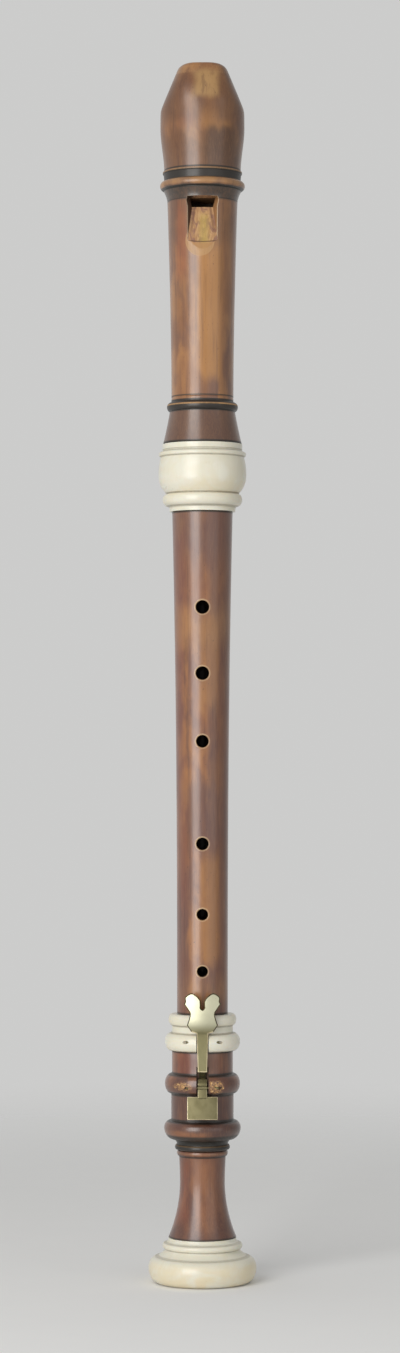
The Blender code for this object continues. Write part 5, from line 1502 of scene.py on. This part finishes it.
def headFinish():
    # The cone's bead, the big bead and its band are dark; their crests are worn
    grooves = (
        (zHead, 0.5, 0.8, 0.9), (zConeBead + 1.4, 1.6, 0.8, 0.97), (zNeck - 0.1, 0.9, 0.6, 0.97),
        (zBody + 0.3, 0.15, 0.45, 0.8), (zCove + 0.6, 0.12, 0.35, 0.7), (zBigBead + 0.1, 0.35, 0.5, 0.95),
        (zBand + 0.2, 0.25, 0.4, 0.97), (zBand + 2.2, 2.0, 0.9, 0.97), (zBulge + 0.5, 0.25, 0.5, 0.85),
    )
    worn = (
        (zNeck - 1.7, 0.2, 0.3, 0.9), (zBand - 1.8, 0.8, 1.5, 0.45), (zRidge + 0.7, 0.25, 0.35, 0.40),
    )
    ochre = ((zTip - 3.8, 1.6, 1.2, 0.3),)
    golden = (0.42, 0.190, 0.046)
    darkStainAndShade = (0.098, 0.045, 0.027)
    umber = (0.120, 0.050, 0.020)
    rust = (0.30, 0.088, 0.034)

    def scraped(look):
        # Bare wood scraped in a scallop below the window
        centre, half = window["scallop"], window["scallopHalf"]
        across = (look.x - centre[0]) * (1 / half[0])
        up = (look.z - centre[1]) * (1 / half[1])
        return (across ** 2.0 + up ** 2.0).fade(1.0, 0.92) * look.y.fade(-4, -8) * 0.8

    tones = (
        (golden, 0.85, (3.2, 4.0, 5.0), (zBody + 48.9, 36, 10)),
        # Painted shade: this tone darkens the body's right edge; the same colour round the cone is stain
        (darkStainAndShade, 0.25, (15, 3.5, 3.0), (zBody + 48.9, 42, 10)),
        (umber, 0.55, None, (zCove - 9, 6, 14)), (darkStainAndShade, 0.92, None, (zHead + 4.6, 13.0, 1.0)),
        (umber, 0.80, None, (zBulge + 8.4, 5, 12)),
        # Painted shade: the bulge is darkened on its right side
        ((0.080, 0.036, 0.016), 0.75, (10.5, 6.0, 5.0), (zBulge + 10.4, 9, 8)),
        (rust, 0.55, (-11.0, 1.2, 3.0), (zCove - 21, 12, 14)),
        (rust, 0.35, (-9.5, 3.0, 3.0), (zBeak + 11, 8, 8)),
        (golden, 0.55, (6.0, 5.0, 7.0), (zBeak + 2, 2, 6)),
        ((0.034, 0.024, 0.017), 0.97, None, (zCove + 3.8, 2.6, 2.0)),
        (umber, 0.60, None, (zBeak + 13, 7, 12)), (umber, 0.6, (-15, 4.0, 6.0), (zBeak + 17, 12, 8)),
        ((0.40, 0.235, 0.090), 0.85, (2.0, 4.0, 5.5), (zBeak + 20.5, 4.5, 5)),
        (umber, 0.6, (15, 4.0, 5.0), (zBeak + 17, 12, 8)),
    )
    return boxwoodLook("head", grooves, worn, tones, ochre, extraWear=scraped)


def middleFinish():
    grooves = ((zShoulder + 0.3, 0.6, 0.9, 0.8), (zMiddle, 0.4, 0.8, 0.7))
    worn = ((zShoulder - 61, 2, 16, 0.22), (zShoulder - 255, 2, 10, 0.15))
    rims = [(zShoulder - drop, diameter / 2, -1) for drop, diameter in fingerHoles]
    rims.append((zShoulder - thumbHole[0], thumbHole[1] / 2, 1))
    shade = (0.115, 0.043, 0.024)
    rose = (0.170, 0.054, 0.034)
    dusk = (0.125, 0.058, 0.044)
    tones = (
        # Painted shade: the first tone darkens the tube's right side
        (shade, 0.75, (11, 4.5, 5.0), (278, 150, 5)), (dusk, 0.7, None, (zShoulder, 12, 24)),
        # The rose tone reddens the left edge and also darkens it there as painted shade
        (rose, 0.65, (-14, 2.5, 4.5), (275, 120, 20)),
        (dusk, 0.6, (-13, 4.0, 4.0), (170, 20, 16)), (dusk, 0.65, (1, 6.0, 6.0), (zShoulder - 160, 10, 14)),
        ((0.34, 0.150, 0.040), 0.6, (4, 2.5, 4.0), (zShoulder - 212, 22, 12)),
        ((0.33, 0.150, 0.048), 0.6, (3, 3.0, 4.0), (zShoulder - 82, 16, 14)),
    )
    return boxwoodLook("middle", grooves, worn, tones, rims=rims)


def footFinish():
    grooves = (
        (zLowRing - 2.4, 2.2, 1.1, 1.0), (zLowRing + 1.2, 1.2, 1.2, 0.9), (zPadBarrel + 0.2, 0.6, 0.7, 0.9),
        (zKeyRing + 0.3, 0.7, 0.9, 0.85), (zUpperBarrel, 0.5, 0.8, 0.9), (zFerrule, 0.4, 0.9, 0.8),
        (bellMount["height"], 0.5, 1.0, 0.7), (zNeckBead + 0.2, 0.3, 0.6, 0.8),
        (zCollar + 0.1, 0.3, 0.5, 0.9),
    )
    worn = ((zFootCove - 0.4, 0.2, 0.3, 0.25), (zNeckBead + 1.9, 0.2, 0.4, 0.25))

    def splinters(look):
        # Bare golden wood where the ring has splintered round the pin's ends
        fleck = look.noise((0.9, 0.9, 1.0), 3, 0.65, 21.0, 1.4).fade(0.45, 0.56)
        left = (((look.x + 10.4) * 0.19) ** 2.0 + ((look.z - 106.1) * 0.40) ** 2.0).fade(1.25, 0.40)
        right = (((look.x - 7.4) * 0.24) ** 2.0 + ((look.z - 106.0) * 0.25) ** 2.0).fade(1.25, 0.40)
        return fleck * left.most(right) * look.y.fade(-4, -8)

    umber = (0.075, 0.026, 0.016)
    tones = (
        # Painted shade: the first tone darkens the foot's right side; the umber bands all round are stain
        (umber, 0.55, (12, 6.0, 5.0), (75, 60, 5)), (umber, 0.55, None, (zPadBarrel + 8, 10, 8)),
        (umber, 0.5, None, (bellMount["height"], 3, 12)),
        ((0.24, 0.085, 0.024), 0.5, (2, 3.0, 4.0), (48, 14, 8)),
        ((0.050, 0.016, 0.011), 0.7, (9, 11.0, 6.0), (zLowRing + 7, 3, 3)),
        ((0.26, 0.098, 0.034), 0.7, (-7, 7.0, 6.0), (zLowRing + 3.6, 0.9, 2.0)),
        ((0.20, 0.045, 0.020), 0.5, (-9, 3.0, 3.0), (zUpperBarrel + 6, 5, 3)),
        ((0.22, 0.060, 0.024), 0.5, (-12, 2.5, 3.0), (48, 12, 8)),
    )
    return boxwoodLook("foot", grooves, worn, tones, extraWear=splinters)


boreFinish = boreLook()
dirtFinish = ivoryLook("ivory_in_the_slots", ((zWaist, 60, 1, 0.9),))
bulbFinish = ivoryLook("ivory_bulb", (
    (zBulb + 2.6, 0.3, 0.5, 0.55), (zBulb + 9.6, 0.25, 0.45, 0.75), (zBulb + 29.3, 0.2, 0.4, 0.5),
    (zBulb + 32.2, 0.2, 0.35, 0.6), (zBulb + 33.0, 0.12, 0.25, 0.6),
), ((zBulb + 12, 2, 5, 0.35),))
ferruleFinish = ivoryLook("ivory_ferrule", (
    (zFerrule + 0.1, 0.2, 0.5, 0.7), (zWaist, 0.2, 0.5, 0.6), (zTopBead, 0.25, 0.5, 0.6),
))
bellFinish = ivoryLook("ivory_bell", (
    (14.3, 0.2, 0.4, 0.45), (18.1, 0.2, 0.4, 0.45), (21.6, 0.2, 0.35, 0.4), (0.2, 0.3, 1.0, 0.4),
), ((4.5, 4.5, 5.0, 0.55),))

print("finishes made")

makeHead(headFinish(), boreFinish, knifeCutLook())
makeBulbMount(bulbFinish)
makeBlock(cedarLook())
print("head made")

makeMiddle(middleFinish(), boreFinish)
threadFinish = threadLook()
makeLapping("upper_thread", threadFinish, middleWood["upperTenon"], zShoulder,
            zShoulder + middleWood["tenonLength"], "head_lapping", "upper_tenon_lapping")
makeLapping("lower_thread", threadFinish, middleWood["lowerTenon"], zMiddle,
            zMiddle - middleWood["tenonLength"], "foot_lapping", "lower_tenon_lapping")
print("middle made")

makeFoot(footFinish(), boreFinish, splinterLook())
makeFerrule(ferruleFinish, dirtFinish)
makeBellMount(bellFinish)
print("foot made")

touchBrass = brassLook("brass_touch", "satin", lambda look: look.z.fade(134.5, 141.0), 0.35)
# Duller and more olive than the touch: patina, and painted shade for the flap, which faces down; pins and rivets
# share it
flapBrass = brassLook("brass_flap", "dull", None, 0.7, 0.46)
# Painted highlight on the levers' edges
glinting = brassEdgeLook("brass_glint_edge", brassColours["glint"])
makeTouch(touchBrass, brassEdgeLook("brass_shaded_edge", brassColours["edgeShade"]), glinting)
makeFlap(flapBrass, glinting)
makePin("touch_pin", flapBrass, touchAxle, ferrule["bead"], "touch_axle")
makePin("flap_pin", flapBrass, padAxle, footWood["keyRing"], "pad_axle")
springFinish = springLook()
makeRivet("touch_rivet", flapBrass, *makeTouchSpring(springFinish), "touch", "touch_spring_rivet")
makeRivet("flap_rivet", flapBrass, *makePadSpring(springFinish), "pad", "pad_spring_rivet")
makePad(leatherLook())
print("key made")

makeCamera()
makeFloor()
makeWorld()
for name, values in lights.items():
    makeLight(name, **values)
bpy.context.scene.view_settings.view_transform = "Standard"
print("studio made")
